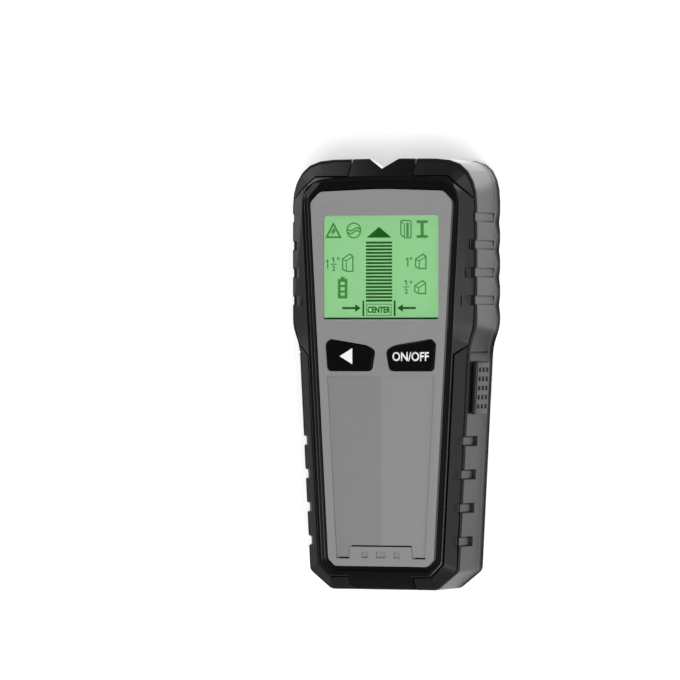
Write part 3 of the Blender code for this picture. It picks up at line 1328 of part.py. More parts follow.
def make_finishes():
    """One plain finish for each kind of material."""
    return {
        "shell": plastic("shell_black", (0.030, 0.030, 0.032), 0.45),
        "grip": plastic("grip_dark_grey", (0.060, 0.060, 0.062), 0.6),
        "plate": plastic("plate_grey", (0.25, 0.25, 0.25), 0.5),
        "key": plastic("key_black", (0.010, 0.010, 0.010), 0.3),
        "clear": plastic("pane_clear", (0.9, 0.9, 0.9), 0.05, transmission=0.9),
        "display": plastic("display_green", (0.26, 0.58, 0.25), 0.3),
        "white": plastic("moulding_white", (0.75, 0.75, 0.73), 0.4),
        "board": plastic("board_green", (0.02, 0.14, 0.06), 0.4),
        "black": plastic("component_black", (0.015, 0.015, 0.015), 0.4),
        "metal": plastic("plated_steel", (0.6, 0.6, 0.6), 0.35, 1.0),
        "battery": plastic("battery_case", (0.05, 0.05, 0.055), 0.35, 0.6),
        "red": plastic("lead_red", (0.5, 0.02, 0.02), 0.5),
    }


def main():
    """Build every piece, from the housing inwards."""
    clear_scene()
    finishes = make_finishes()
    make_front_shell(finishes["shell"])
    make_grip("right_grip", 1, finishes["grip"])
    make_grip("left_grip", -1, finishes["grip"])
    make_face_plate(finishes["plate"])
    make_display(finishes)
    make_key("arrow_button", -1, finishes["key"])
    make_key("power_button", 1, finishes["key"])
    make_push_switch("arrow_switch", -1, finishes["metal"], finishes["black"])
    make_push_switch("power_switch", 1, finishes["metal"], finishes["black"])
    make_mode_slider(finishes["grip"])
    make_mode_switch(finishes["metal"], finishes["white"])
    make_main_board(finishes["board"])
    make_inner_parts(finishes)
    make_back_cover(finishes["shell"])
    make_battery_door(finishes["shell"])
    make_battery(finishes["battery"])
    make_battery_snap(finishes["black"])
    make_battery_lead("battery_lead_red", -1, finishes["red"])
    make_battery_lead("battery_lead_black", 1, finishes["black"])
    make_screws(finishes["metal"])


main()
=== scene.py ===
# %% [markdown]
# This lesson dresses a handheld stud finder for its picture. The tool lies on its back: its face
# looks up along +Z, the marking notch points along +Y and the slide switch is on the +X side.
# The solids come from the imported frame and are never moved. What this file adds is the skin of
# each piece: rounded moulding edges, grain, printed marks, display segments, light and a camera.

# %% Load the frame
import json
import math

import bmesh
import bpy
from mathutils import Matrix, Vector

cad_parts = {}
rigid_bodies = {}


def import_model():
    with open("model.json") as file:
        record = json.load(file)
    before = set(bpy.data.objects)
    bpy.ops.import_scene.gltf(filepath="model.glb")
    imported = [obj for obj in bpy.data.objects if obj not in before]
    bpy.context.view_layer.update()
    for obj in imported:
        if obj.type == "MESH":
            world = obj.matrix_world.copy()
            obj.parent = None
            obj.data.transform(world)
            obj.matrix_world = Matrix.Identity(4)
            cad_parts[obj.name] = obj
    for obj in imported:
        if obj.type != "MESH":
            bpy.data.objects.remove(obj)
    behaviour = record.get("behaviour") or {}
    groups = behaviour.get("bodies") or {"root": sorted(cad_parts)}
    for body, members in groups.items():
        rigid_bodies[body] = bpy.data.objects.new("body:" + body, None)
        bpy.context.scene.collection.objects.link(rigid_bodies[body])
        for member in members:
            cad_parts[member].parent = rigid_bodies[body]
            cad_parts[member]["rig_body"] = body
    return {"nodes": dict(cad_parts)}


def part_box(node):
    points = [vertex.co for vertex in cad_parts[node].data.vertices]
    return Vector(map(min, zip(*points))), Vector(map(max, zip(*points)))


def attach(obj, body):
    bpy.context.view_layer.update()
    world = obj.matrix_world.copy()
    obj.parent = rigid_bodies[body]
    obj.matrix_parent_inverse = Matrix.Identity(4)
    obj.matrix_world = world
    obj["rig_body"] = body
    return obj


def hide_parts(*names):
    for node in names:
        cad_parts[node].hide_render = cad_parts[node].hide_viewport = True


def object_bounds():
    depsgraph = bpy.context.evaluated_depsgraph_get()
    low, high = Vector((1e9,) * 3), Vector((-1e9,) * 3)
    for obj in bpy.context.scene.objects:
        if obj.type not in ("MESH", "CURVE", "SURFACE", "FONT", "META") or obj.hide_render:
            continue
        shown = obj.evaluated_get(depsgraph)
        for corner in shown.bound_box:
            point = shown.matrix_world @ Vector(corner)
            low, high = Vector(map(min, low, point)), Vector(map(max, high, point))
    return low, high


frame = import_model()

MM = 0.001
cad_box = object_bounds()
face_height = cad_box[1].z
print("pieces in the frame:", len(frame["nodes"]))
print("upper corner of their box in mm:", [round(side / MM, 1) for side in cad_box[1]])

# %% [markdown]
# The picture is nearly a parallel projection: the camera stands far off with a long lens and looks
# at the face from 22.5 degrees towards the right side, so that the side wall shows as a strip.
# The scale and the place of the face's centre in the picture fix the lens and the target. Placing
# the camera by its own right and up axes keeps the lens shift at zero.

# %% Camera
PICTURE_SIDE = 680
MM_PER_PIXEL = 0.36 * MM
FACE_CENTRE_PIXEL = (380, 374)
VIEW_FROM_RIGHT = math.radians(22.5)
CAMERA_DISTANCE = 2.2
SENSOR = 36.0
FAR_CLIP = 20

towards_camera = Vector((math.sin(VIEW_FROM_RIGHT), 0, math.cos(VIEW_FROM_RIGHT)))
picture_right = Vector((math.cos(VIEW_FROM_RIGHT), 0, -math.sin(VIEW_FROM_RIGHT)))
picture_up = Vector((0, 1, 0))
half_side = PICTURE_SIDE / 2
target = Vector((0, 0, face_height))
target -= picture_right * (FACE_CENTRE_PIXEL[0] - half_side) * MM_PER_PIXEL
target += picture_up * (FACE_CENTRE_PIXEL[1] - half_side) * MM_PER_PIXEL

camera_data = bpy.data.cameras.new("picture_camera")
camera_data.sensor_width = SENSOR
camera_data.lens = SENSOR * CAMERA_DISTANCE / (PICTURE_SIDE * MM_PER_PIXEL)
camera_data.clip_end = FAR_CLIP
camera = bpy.data.objects.new("picture_camera", camera_data)
bpy.context.scene.collection.objects.link(camera)
turn = Matrix((picture_right, picture_up, towards_camera)).transposed().to_4x4()
camera.matrix_world = Matrix.Translation(target + towards_camera * CAMERA_DISTANCE) @ turn
bpy.context.scene.camera = camera
bpy.context.scene.view_settings.view_transform = "Standard"
print("lens:", round(camera_data.lens, 1), "mm, target:", [round(side / MM, 1) for side in target])

# %% [markdown]
# Every material below is a small graph of nodes. This helper makes the nodes and wires them by
# name, so that a recipe reads as a list of steps instead of a page of links.

# %% A helper for node graphs
def put(tree, kind, values=None, **settings):
    """Add a node, with its settings, and with values or links on its named inputs."""
    node = tree.nodes.new(kind)
    for key, value in settings.items():
        setattr(node, key, value)
    for key, value in (values or {}).items():
        if isinstance(value, bpy.types.NodeSocket):
            tree.links.new(value, node.inputs[key])
        else:
            node.inputs[key].default_value = value
    return node


def new_group(name, inputs, outputs):
    """Start a shader node group: each socket is a name with its kind and its first value."""
    tree = bpy.data.node_groups.new(name, "ShaderNodeTree")
    for label, kind, value in inputs:
        socket = tree.interface.new_socket(label, in_out="INPUT", socket_type=kind)
        socket.default_value = value
    for label, kind in outputs:
        tree.interface.new_socket(label, in_out="OUTPUT", socket_type=kind)
    return tree, tree.nodes.new("NodeGroupInput"), tree.nodes.new("NodeGroupOutput")


# %% [markdown]
# Moulded plastic is never quite smooth. The tool that shaped it was spark eroded or blasted, and
# leaves a fine even grain that breaks up the gloss. One group makes that grain for every plastic
# here: noise drives a bump, and a second, larger noise shifts the roughness a little.

# %% Mould grain, a group shared by the plastics
def build_grain():
    """Fine grain as a normal, and a roughness that drifts slightly over the surface."""
    tree, given, result = new_group(
        "mould_grain",
        [("Grain per metre", "NodeSocketFloat", 2500.0), ("Depth", "NodeSocketFloat", 0.00002),
         ("Strength", "NodeSocketFloat", 0.3), ("Roughness", "NodeSocketFloat", 0.4),
         ("Drift", "NodeSocketFloat", 0.05)],
        [("Normal", "NodeSocketVector"), ("Roughness", "NodeSocketFloat")])
    place = put(tree, "ShaderNodeTexCoord").outputs["Object"]
    fine = put(tree, "ShaderNodeTexNoise", {
        "Vector": place, "Scale": given.outputs["Grain per metre"], "Detail": 3.0, "Roughness": 0.6})
    bump = put(tree, "ShaderNodeBump", {
        "Strength": given.outputs["Strength"], "Distance": given.outputs["Depth"],
        "Height": fine.outputs["Fac"]})
    broad = put(tree, "ShaderNodeTexNoise", {"Vector": place, "Scale": 90.0, "Detail": 4.0})
    centred = put(tree, "ShaderNodeMath", {0: broad.outputs["Fac"], 1: -0.5}, operation="ADD")
    shifted = put(tree, "ShaderNodeMath", {
        0: centred.outputs[0], 1: given.outputs["Drift"], 2: given.outputs["Roughness"]},
        operation="MULTIPLY_ADD")
    tree.links.new(bump.outputs["Normal"], result.inputs["Normal"])
    tree.links.new(shifted.outputs[0], result.inputs["Roughness"])
    return tree


grain = build_grain()
print("group", grain.name, "with", len(grain.nodes), "nodes")

# %% [markdown]
# A moulded plastic also changes colour slightly, with a cloudy drift from the moulding. Its edges get
# a painted highlight a shade lighter. The pointiness of the surface finds those edges, so the
# painted highlight sits on the rounded corners and nowhere else.

# %% Surface colour and painted edge highlight, a group shared by the plastics
def build_tint_and_edge_highlight():
    """A colour with a cloudy drift and a painted highlight on the edges."""
    tree, given, result = new_group(
        "surface_tint_and_edge_highlight",
        [("Colour", "NodeSocketColor", (0.5, 0.5, 0.5, 1.0)), ("Drift", "NodeSocketFloat", 0.06),
         ("Edge_highlight", "NodeSocketFloat", 0.15)],
        [("Colour", "NodeSocketColor")])
    place = put(tree, "ShaderNodeTexCoord").outputs["Object"]
    cloud = put(tree, "ShaderNodeTexNoise", {"Vector": place, "Scale": 55.0, "Detail": 5.0})
    centred = put(tree, "ShaderNodeMath", {0: cloud.outputs["Fac"], 1: -0.5}, operation="ADD")
    level = put(tree, "ShaderNodeMath", {
        0: centred.outputs[0], 1: given.outputs["Drift"], 2: 1.0}, operation="MULTIPLY_ADD")
    # painted highlight: pointiness lightens the rounded edges a shade, standing in for light on them
    point = put(tree, "ShaderNodeNewGeometry").outputs["Pointiness"]
    edge = put(tree, "ShaderNodeMapRange", {
        "Value": point, "From Min": 0.52, "From Max": 0.62}, interpolation_type="SMOOTHSTEP")
    lift = put(tree, "ShaderNodeMath", {
        0: edge.outputs["Result"], 1: given.outputs["Edge_highlight"], 2: level.outputs[0]},
        operation="MULTIPLY_ADD")
    tinted = put(tree, "ShaderNodeVectorMath", {
        0: given.outputs["Colour"], "Scale": lift.outputs[0]}, operation="SCALE")
    tree.links.new(tinted.outputs["Vector"], result.inputs["Colour"])
    return tree


tint_and_edge_highlight = build_tint_and_edge_highlight()
print("group", tint_and_edge_highlight.name, "with", len(tint_and_edge_highlight.nodes), "nodes")

# %% [markdown]
# With the two groups, one function makes every plastic of the tool. The colour and the roughness
# come through the groups because they change over the surface. What is the same all over, such as
# how strongly the grip mirrors, is set on the shader's own socket.

# %% The plastics
def plastic(name, colour, roughness, grain_size=2500.0, depth=0.02 * MM, strength=0.3, drift=0.06,
            edge=0.15, **shader_values):
    """A moulded plastic with its own grain, colour drift and painted edge highlight."""
    finish = bpy.data.materials.new(name)
    finish.use_nodes = True
    tree = finish.node_tree
    shader = tree.nodes["Principled BSDF"]
    surface = put(tree, "ShaderNodeGroup", node_tree=grain)
    surface.inputs["Grain per metre"].default_value = grain_size
    surface.inputs["Depth"].default_value = depth
    surface.inputs["Strength"].default_value = strength
    surface.inputs["Roughness"].default_value = roughness
    colour_and_edge_highlight = put(tree, "ShaderNodeGroup", node_tree=tint_and_edge_highlight)
    colour_and_edge_highlight.inputs["Colour"].default_value = (*colour, 1.0)
    colour_and_edge_highlight.inputs["Drift"].default_value = drift
    # edge sets the strength of the painted highlight on the rounded edges
    colour_and_edge_highlight.inputs["Edge_highlight"].default_value = edge
    tree.links.new(colour_and_edge_highlight.outputs["Colour"], shader.inputs["Base Color"])
    tree.links.new(surface.outputs["Roughness"], shader.inputs["Roughness"])
    tree.links.new(surface.outputs["Normal"], shader.inputs["Normal"])
    for key, value in shader_values.items():
        shader.inputs[key.replace("_", " ")].default_value = value
    finish.diffuse_color = (*colour, 1.0)
    return finish


shell_black = plastic("shell_black", (0.0025, 0.0025, 0.003), 0.25, strength=0.15)
grip_skin = plastic("grip_skin", (0.008, 0.008, 0.0083), 0.36, grain_size=1800.0, strength=0.4,
                    Specular_IOR_Level=0.3)
plate_grey = plastic("plate_grey", (0.243, 0.241, 0.243), 0.48, strength=0.35)
# painted shade: the plate's grey a little darker, for the left half of the lower panel
plate_painted_shade = plastic("plate_painted_shade", (0.220, 0.218, 0.220), 0.48, strength=0.35)
key_black = plastic("key_black", (0.0015, 0.0015, 0.0015), 0.22, strength=0.1)
white_moulding = plastic("white_moulding", (0.75, 0.75, 0.73), 0.4, strength=0.1)
component_black = plastic("component_black", (0.015, 0.015, 0.016), 0.4)
red_lead = plastic("red_lead", (0.5, 0.02, 0.02), 0.45)
mark_white = plastic("mark_white", (0.86, 0.86, 0.86), 0.5, strength=0.05, edge=0.0)
print("plastics:", sorted(finish.name for finish in bpy.data.materials if finish.use_nodes))

# %% [markdown]
# The metal parts are stamped or turned and then plated. Fine scratches along one direction blur
# their gloss, so their roughness comes from a stretched noise.

# %% Plated metal
def plated(name, colour, roughness):
    """Plated steel with fine scratches."""
    finish = bpy.data.materials.new(name)
    finish.use_nodes = True
    tree = finish.node_tree
    shader = tree.nodes["Principled BSDF"]
    place = put(tree, "ShaderNodeTexCoord").outputs["Object"]
    drawn = put(tree, "ShaderNodeMapping", {"Vector": place, "Scale": (400.0, 9000.0, 9000.0)})
    streak = put(tree, "ShaderNodeTexNoise", {
        "Vector": drawn.outputs["Vector"], "Scale": 1.0, "Detail": 4.0})
    rough = put(tree, "ShaderNodeMapRange", {
        "Value": streak.outputs["Fac"], "To Min": roughness - 0.08, "To Max": roughness + 0.12})
    bump = put(tree, "ShaderNodeBump", {
        "Strength": 0.2, "Distance": 0.01 * MM, "Height": streak.outputs["Fac"]})
    tree.links.new(rough.outputs["Result"], shader.inputs["Roughness"])
    tree.links.new(bump.outputs["Normal"], shader.inputs["Normal"])
    shader.inputs["Base Color"].default_value = (*colour, 1.0)
    shader.inputs["Metallic"].default_value = 1.0
    finish.diffuse_color = (*colour, 1.0)
    return finish


plated_steel = plated("plated_steel", (0.60, 0.60, 0.59), 0.3)
print(plated_steel.name, "has", len(plated_steel.node_tree.nodes), "nodes")

# %% [markdown]
# The display is a sandwich. A white block of light guide shines through a green sheet, the dark
# segments lie on top of that sheet, and a clear pane closes the window. The light of the guide is
# almost even. One group makes it for the sheet and for the inks: a broad noise shifts the
# brightness of a colour a little. It gives the colour of the glow, and a weaker one for the light
# that comes back from the room.

# %% Light from behind, a group shared by the sheet and the inks
def build_backlit():
    """A colour of slightly uneven brightness, as the glow and as what the room's light meets."""
    tree, given, result = new_group(
        "backlit_colour",
        [("Colour", "NodeSocketColor", (0.5, 0.5, 0.5, 1.0)), ("Drift", "NodeSocketFloat", 0.04),
         ("Room share", "NodeSocketFloat", 0.6)],
        [("Glow", "NodeSocketColor"), ("Body", "NodeSocketColor")])
    place = put(tree, "ShaderNodeTexCoord").outputs["Object"]
    cloud = put(tree, "ShaderNodeTexNoise", {"Vector": place, "Scale": 40.0, "Detail": 2.0})
    centred = put(tree, "ShaderNodeMath", {0: cloud.outputs["Fac"], 1: -0.5}, operation="ADD")
    level = put(tree, "ShaderNodeMath", {
        0: centred.outputs[0], 1: given.outputs["Drift"], 2: 1.0}, operation="MULTIPLY_ADD")
    lit = put(tree, "ShaderNodeVectorMath", {
        0: given.outputs["Colour"], "Scale": level.outputs[0]}, operation="SCALE")
    body = put(tree, "ShaderNodeVectorMath", {
        0: lit.outputs["Vector"], "Scale": given.outputs["Room share"]}, operation="SCALE")
    tree.links.new(lit.outputs["Vector"], result.inputs["Glow"])
    tree.links.new(body.outputs["Vector"], result.inputs["Body"])
    return tree


backlit = build_backlit()
print("group", backlit.name, "with", len(backlit.nodes), "nodes")

# %% [markdown]
# With that group, the sheet, the inks and the shade at the foot of the window are all made alike.
# They differ in their colour, in how strongly they glow and in how matt they are.

# %% Display sheet and segments
def glowing(name, colour, glow, roughness):
    """A sheet or an ink that is lit from behind."""
    finish = bpy.data.materials.new(name)
    finish.use_nodes = True
    tree = finish.node_tree
    shader = tree.nodes["Principled BSDF"]
    light = put(tree, "ShaderNodeGroup", node_tree=backlit)
    light.inputs["Colour"].default_value = (*colour, 1.0)
    tree.links.new(light.outputs["Body"], shader.inputs["Base Color"])
    tree.links.new(light.outputs["Glow"], shader.inputs["Emission Color"])
    shader.inputs["Emission Strength"].default_value = glow
    shader.inputs["Roughness"].default_value = roughness
    finish.diffuse_color = (*colour, 1.0)
    return finish


display_green = glowing("display_green", (0.262, 0.555, 0.256), glow=0.78, roughness=0.4)
segment_dark = glowing("segment_dark", (0.001, 0.072, 0.001), glow=0.78, roughness=0.5)
segment_faint = glowing("segment_faint", (0.045, 0.220, 0.045), glow=0.78, roughness=0.5)
pane_shade = glowing("pane_shade", (0.006, 0.035, 0.010), glow=0.5, roughness=0.5)
print("lit finishes:", [ink.name for ink in (display_green, segment_dark, segment_faint, pane_shade)])

# %% [markdown]
# The pane over the sheet is clear plastic. Light passes through it, so its transmission is full and
# its roughness is low, and its refraction is that of acrylic. A moulded window is never quite flat:
# a broad, very shallow bump lets its reflections waver.

# %% Clear pane
def clear_pane():
    """Clear plastic with a very faint ripple."""
    finish = bpy.data.materials.new("clear_pane")
    finish.use_nodes = True
    tree = finish.node_tree
    shader = tree.nodes["Principled BSDF"]
    place = put(tree, "ShaderNodeTexCoord").outputs["Object"]
    ripple = put(tree, "ShaderNodeTexNoise", {"Vector": place, "Scale": 60.0, "Detail": 1.0})
    bump = put(tree, "ShaderNodeBump", {
        "Strength": 0.05, "Distance": 0.02 * MM, "Height": ripple.outputs["Fac"]})
    tree.links.new(bump.outputs["Normal"], shader.inputs["Normal"])
    shader.inputs["Base Color"].default_value = (0.96, 0.99, 0.96, 1.0)
    shader.inputs["Roughness"].default_value = 0.03
    shader.inputs["IOR"].default_value = 1.49
    shader.inputs["Transmission Weight"].default_value = 1.0
    return finish


pane_clear = clear_pane()
print(pane_clear.name, "has", len(pane_clear.node_tree.nodes), "nodes")

# %% [markdown]
# The circuit boards show their copper tracks through the green lacquer. The narrow lines of a
# brick pattern are enough for a part that stays inside the case, and they raise the surface a
# little, as tracks do.

# %% Circuit board
def board_finish():
    """Green lacquer over lighter copper tracks."""
    finish = bpy.data.materials.new("board_green")
    finish.use_nodes = True
    tree = finish.node_tree
    shader = tree.nodes["Principled BSDF"]
    place = put(tree, "ShaderNodeTexCoord").outputs["Object"]
    tracks = put(tree, "ShaderNodeTexBrick", {
        "Vector": place, "Color1": (0.015, 0.12, 0.05, 1), "Color2": (0.02, 0.15, 0.06, 1),
        "Mortar": (0.05, 0.26, 0.10, 1), "Scale": 160.0, "Mortar Size": 0.02, "Brick Width": 0.9})
    bump = put(tree, "ShaderNodeBump", {
        "Strength": 0.4, "Distance": 0.03 * MM, "Height": tracks.outputs["Fac"]})
    tree.links.new(tracks.outputs["Color"], shader.inputs["Base Color"])
    tree.links.new(bump.outputs["Normal"], shader.inputs["Normal"])
    shader.inputs["Roughness"].default_value = 0.35
    return finish


board_green = board_finish()
print(board_green.name, "has", len(board_green.node_tree.nodes), "nodes")

# %% [markdown]
# The battery's jacket is a thin printed steel can. A generic two-colour jacket, dark with a paler
# band at the terminal end, is drawn by the place along the can.

# %% Battery jacket
PALE_BAND = 14 * MM
BLEND = 0.1 * MM


def jacket_finish():
    """Dark jacket with a copper coloured band at the terminal end."""
    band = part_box("battery")[1].y - PALE_BAND
    finish = bpy.data.materials.new("battery_jacket")
    finish.use_nodes = True
    tree = finish.node_tree
    shader = tree.nodes["Principled BSDF"]
    place = put(tree, "ShaderNodeTexCoord").outputs["Object"]
    along = put(tree, "ShaderNodeSeparateXYZ", {"Vector": place}).outputs["Y"]
    end = put(tree, "ShaderNodeMapRange", {
        "Value": along, "From Min": band - BLEND, "From Max": band + BLEND})
    colour = put(tree, "ShaderNodeMix", {
        "Factor": end.outputs["Result"], "A": (0.02, 0.02, 0.022, 1), "B": (0.55, 0.30, 0.14, 1)},
        data_type="RGBA")
    dust = put(tree, "ShaderNodeTexNoise", {"Vector": place, "Scale": 300.0, "Detail": 6.0})
    rough = put(tree, "ShaderNodeMapRange", {
        "Value": dust.outputs["Fac"], "To Min": 0.22, "To Max": 0.42})
    tree.links.new(colour.outputs["Result"], shader.inputs["Base Color"])
    tree.links.new(rough.outputs["Result"], shader.inputs["Roughness"])
    shader.inputs["Metallic"].default_value = 0.6
    return finish


battery_jacket = jacket_finish()
print(battery_jacket.name, "has", len(battery_jacket.node_tree.nodes), "nodes")

# %% [markdown]
# The solids of the frame have knife edges where the cuts meet. A real moulding has a small radius
# on each of them, which draws a fine line of light round every form. This helper copies a solid,
# clears its hair-fine triangles, rounds what is sharper than a gentle bend, and then weights the
# normals so that flat faces stay flat. The new piece stands for the node and rides on its body.
#
# Large faces that look up are shaded flat, because smooth shading would blur the gentle folds
# between them. The face plate isn't rounded at all: its holes cut its broad faces into long thin
# triangles, and a bevel on those shows as a dark line across the grey.

# %% Rounded skins for the outer pieces
WELD = 0.06 * MM
FLAT = math.radians(0.8)
SHARP = math.radians(27)
FACING_UP = 0.97
LARGE = 20 * MM * MM
EDGE_SEGMENTS = 2


def shade_smooth_or_flat(mesh):
    """Smooth shading, but for the large faces that look up: they stay flat."""
    for face in mesh.faces:
        face.smooth = face.normal.z < FACING_UP or face.calc_area() < LARGE


def finished(node_name, edge, finish):
    """A rounded and shaded copy of one frame node. An edge of zero keeps it sharp and flat."""
    node = frame["nodes"][node_name]
    mesh = bmesh.new()
    mesh.from_mesh(node.data)
    bmesh.ops.remove_doubles(mesh, verts=mesh.verts, dist=WELD)
    bmesh.ops.dissolve_degenerate(mesh, dist=WELD / 4, edges=mesh.edges)
    bmesh.ops.dissolve_limit(mesh, angle_limit=FLAT, verts=mesh.verts, edges=mesh.edges)
    bmesh.ops.recalc_face_normals(mesh, faces=mesh.faces)
    shade_smooth_or_flat(mesh)
    data = bpy.data.meshes.new(node_name + "_skin")
    mesh.to_mesh(data)
    mesh.free()
    data.materials.append(finish)
    piece = bpy.data.objects.new(node_name + "_skin", data)
    bpy.context.scene.collection.objects.link(piece)
    if edge > 0:
        round_off = piece.modifiers.new("edges", "BEVEL")
        round_off.width = edge
        round_off.segments = EDGE_SEGMENTS
        round_off.limit_method = "ANGLE"
        round_off.angle_limit = SHARP
        round_off.use_clamp_overlap = False
        piece.modifiers.new("normals", "WEIGHTED_NORMAL").keep_sharp = True
    else:
        data.shade_flat()
    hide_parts(node_name)
    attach(piece, node["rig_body"])
    return piece


SKINS = [
    ("front_shell", 0.16, shell_black, "shell"),
    ("back_cover", 0.16, shell_black, "shell"),
    ("battery_door", 0.12, shell_black, "shell"),
    ("right_grip", 0.16, grip_skin, "grip"),
    ("left_grip", 0.16, grip_skin, "grip"),
    ("mode_slider", 0.12, grip_skin, "grip"),
    ("face_plate", 0.0, plate_grey, "plate"),
    ("arrow_button", 0.10, key_black, "key"),
    ("power_button", 0.10, key_black, "key"),
]
for node_name, edge, finish, slot in SKINS:
    piece = finished(node_name, edge * MM, finish)
    print(piece.name, "faces before rounding:", len(piece.data.polygons))

# %% [markdown]
# The lower panel of the plate has a very shallow fold down its middle, and its left half turns
# slightly away from the light. The fold is only a degree or so each way, so its shade is painted
# here: that one face takes the plate's finish in a tone a little darker, as painted shade.

# %% Painted shade of the folded panel
TURNED_AWAY = -0.015
plate = bpy.data.objects["face_plate_skin"].data
# the second finish is the painted shade of the panel's left half
plate.materials.append(plate_painted_shade)
shaded = [face for face in plate.polygons
          if face.normal.x < TURNED_AWAY and face.normal.z > FACING_UP and face.area > LARGE]
for face in shaded:
    face.material_index = 1
print("panel faces in shade:", len(shaded))

# %% [markdown]
# The display, its pane and the pieces inside keep the frame's own meshes. They only need a finish
# that looks like what they are made of: the first two are seen through the window, and the battery
# when its door stands open.

# %% Finishes of the pieces that keep their solids
FINISHES = {
    "display_lens": pane_clear,
    "lcd_panel": display_green,
    "backlight": white_moulding,
    "lcd_frame": component_black,
    "mode_switch_lever": white_moulding,
    "main_board": board_green,
    "sensor_board": board_green,
    "board_link": component_black,
    "processor": component_black,
    "buzzer": component_black,
    "battery_snap": component_black,
    "arrow_switch_stem": component_black,
    "power_switch_stem": component_black,
    "battery_lead_black": component_black,
    "battery_lead_red": red_lead,
    "arrow_switch": plated_steel,
    "power_switch": plated_steel,
    "mode_switch": plated_steel,
    "battery": battery_jacket,
}
screws = {name: plated_steel for name in frame["nodes"] if "screw" in name}
for node_name, finish in {**FINISHES, **screws}.items():
    data = frame["nodes"][node_name].data
    data.materials.clear()
    data.materials.append(finish)
print("solids with a new finish:", len(FINISHES) + len(screws))

# %% [markdown]
# The marks of the display are liquid crystal segments: flat shapes a few hundredths of a
# millimetre thick. A closed line of even width is made by offsetting its points to both sides
# with mitred corners, and a filled shape is one face. Both are then given a thickness.

# %% Helpers for flat marks
def mitred(points, offset, closed):
    """The points of a line moved to its left, with mitred corners."""
    moved = []
    count = len(points)
    for index, here in enumerate(points):
        before = points[index - 1] if closed or index else here
        after = points[(index + 1) % count] if closed or index < count - 1 else here
        arriving = Vector(here) - Vector(before)
        leaving = Vector(after) - Vector(here)
        arriving = (arriving if arriving.length else leaving).normalized()
        leaving = (leaving if leaving.length else arriving).normalized()
        first = Vector((-arriving.y, arriving.x))
        second = Vector((-leaving.y, leaving.x))
        mitre = (first + second) / (1 + first.dot(second)) * offset
        moved.append((here[0] + mitre.x, here[1] + mitre.y))
    return moved


def add_line(mesh, points, width, closed=False):
    """A line of even width, as a strip of flat faces."""
    left = [mesh.verts.new((*point, 0)) for point in mitred(points, width / 2, closed)]
    right = [mesh.verts.new((*point, 0)) for point in mitred(points, -width / 2, closed)]
    count = len(points)
    for index in range(count if closed else count - 1):
        after = (index + 1) % count
        mesh.faces.new((left[index], right[index], right[after], left[after]))


def add_patch(mesh, points):
    """A filled flat shape."""
    mesh.faces.new([mesh.verts.new((*point, 0)) for point in points])


def mark(name, mesh, height, thickness, finish, body):
    """Give flat faces a thickness and let them ride on a body."""
    bmesh.ops.recalc_face_normals(mesh, faces=mesh.faces)
    for face in mesh.faces:
        if face.normal.z < 0:
            face.normal_flip()
    grown = bmesh.ops.extrude_face_region(mesh, geom=list(mesh.faces))
    raised = [item for item in grown["geom"] if isinstance(item, bmesh.types.BMVert)]
    bmesh.ops.translate(mesh, verts=raised, vec=(0, 0, thickness))
    bmesh.ops.recalc_face_normals(mesh, faces=mesh.faces)
    data = bpy.data.meshes.new(name)
    mesh.to_mesh(data)
    mesh.free()
    data.materials.append(finish)
    piece = bpy.data.objects.new(name, data)
    piece.location.z = height
    bpy.context.scene.collection.objects.link(piece)
    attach(piece, body)
    return piece


# %% [markdown]
# Words come from Blender's built-in typeface. A text object is turned into flat faces, measured,
# scaled to the height that is wanted and moved to its place, and then the text object is deleted.
# What stays is a mesh like that of the other marks. The squeeze makes the letters narrower, and the
# weight makes their strokes bolder.

# %% A helper for words
OUTLINE_STEPS = 3
SAME_POINT = 0.002 * MM


def lettering(name, words, centre, size, squeeze, weight):
    """Words as flat faces in a new mesh, centred on a point."""
    text = bpy.data.curves.new(name, "FONT")
    text.body = words
    text.size = 1.0
    text.offset = weight
    text.align_x = "CENTER"
    text.align_y = "CENTER"
    text.resolution_u = OUTLINE_STEPS
    drawn = bpy.data.objects.new(name + "_text", text)
    bpy.context.scene.collection.objects.link(drawn)
    bpy.context.view_layer.update()
    flat = bpy.data.meshes.new_from_object(drawn.evaluated_get(bpy.context.evaluated_depsgraph_get()))
    corners = [vertex.co for vertex in flat.vertices]
    low = Vector([min(corner[axis] for corner in corners) for axis in range(3)])
    high = Vector([max(corner[axis] for corner in corners) for axis in range(3)])
    scale = size / (high.y - low.y)
    middle = (low + high) / 2
    mesh = bmesh.new()
    mesh.from_mesh(flat)
    bmesh.ops.translate(mesh, verts=mesh.verts, vec=-middle)
    bmesh.ops.scale(mesh, verts=mesh.verts, vec=(scale * squeeze, scale, 1))
    bmesh.ops.translate(mesh, verts=mesh.verts, vec=(*centre, 0))
    bmesh.ops.remove_doubles(mesh, verts=mesh.verts, dist=SAME_POINT)
    bpy.data.objects.remove(drawn, do_unlink=True)
    bpy.data.curves.remove(text)
    bpy.data.meshes.remove(flat)
    return mesh


# %% [markdown]
# The display shows what such a tool can find and how near it is. A column of eighteen bars under
# an arrowhead is the signal, and below it two arrows point at the word CENTER, which stands
# between two upright bars, the gate. These segments are the ones that are switched on. Places are
# in millimetres from the centre of the sheet, so the whole drawing moves with the display. The ink
# shift moves it a little to the left, because the camera looks in from the right.

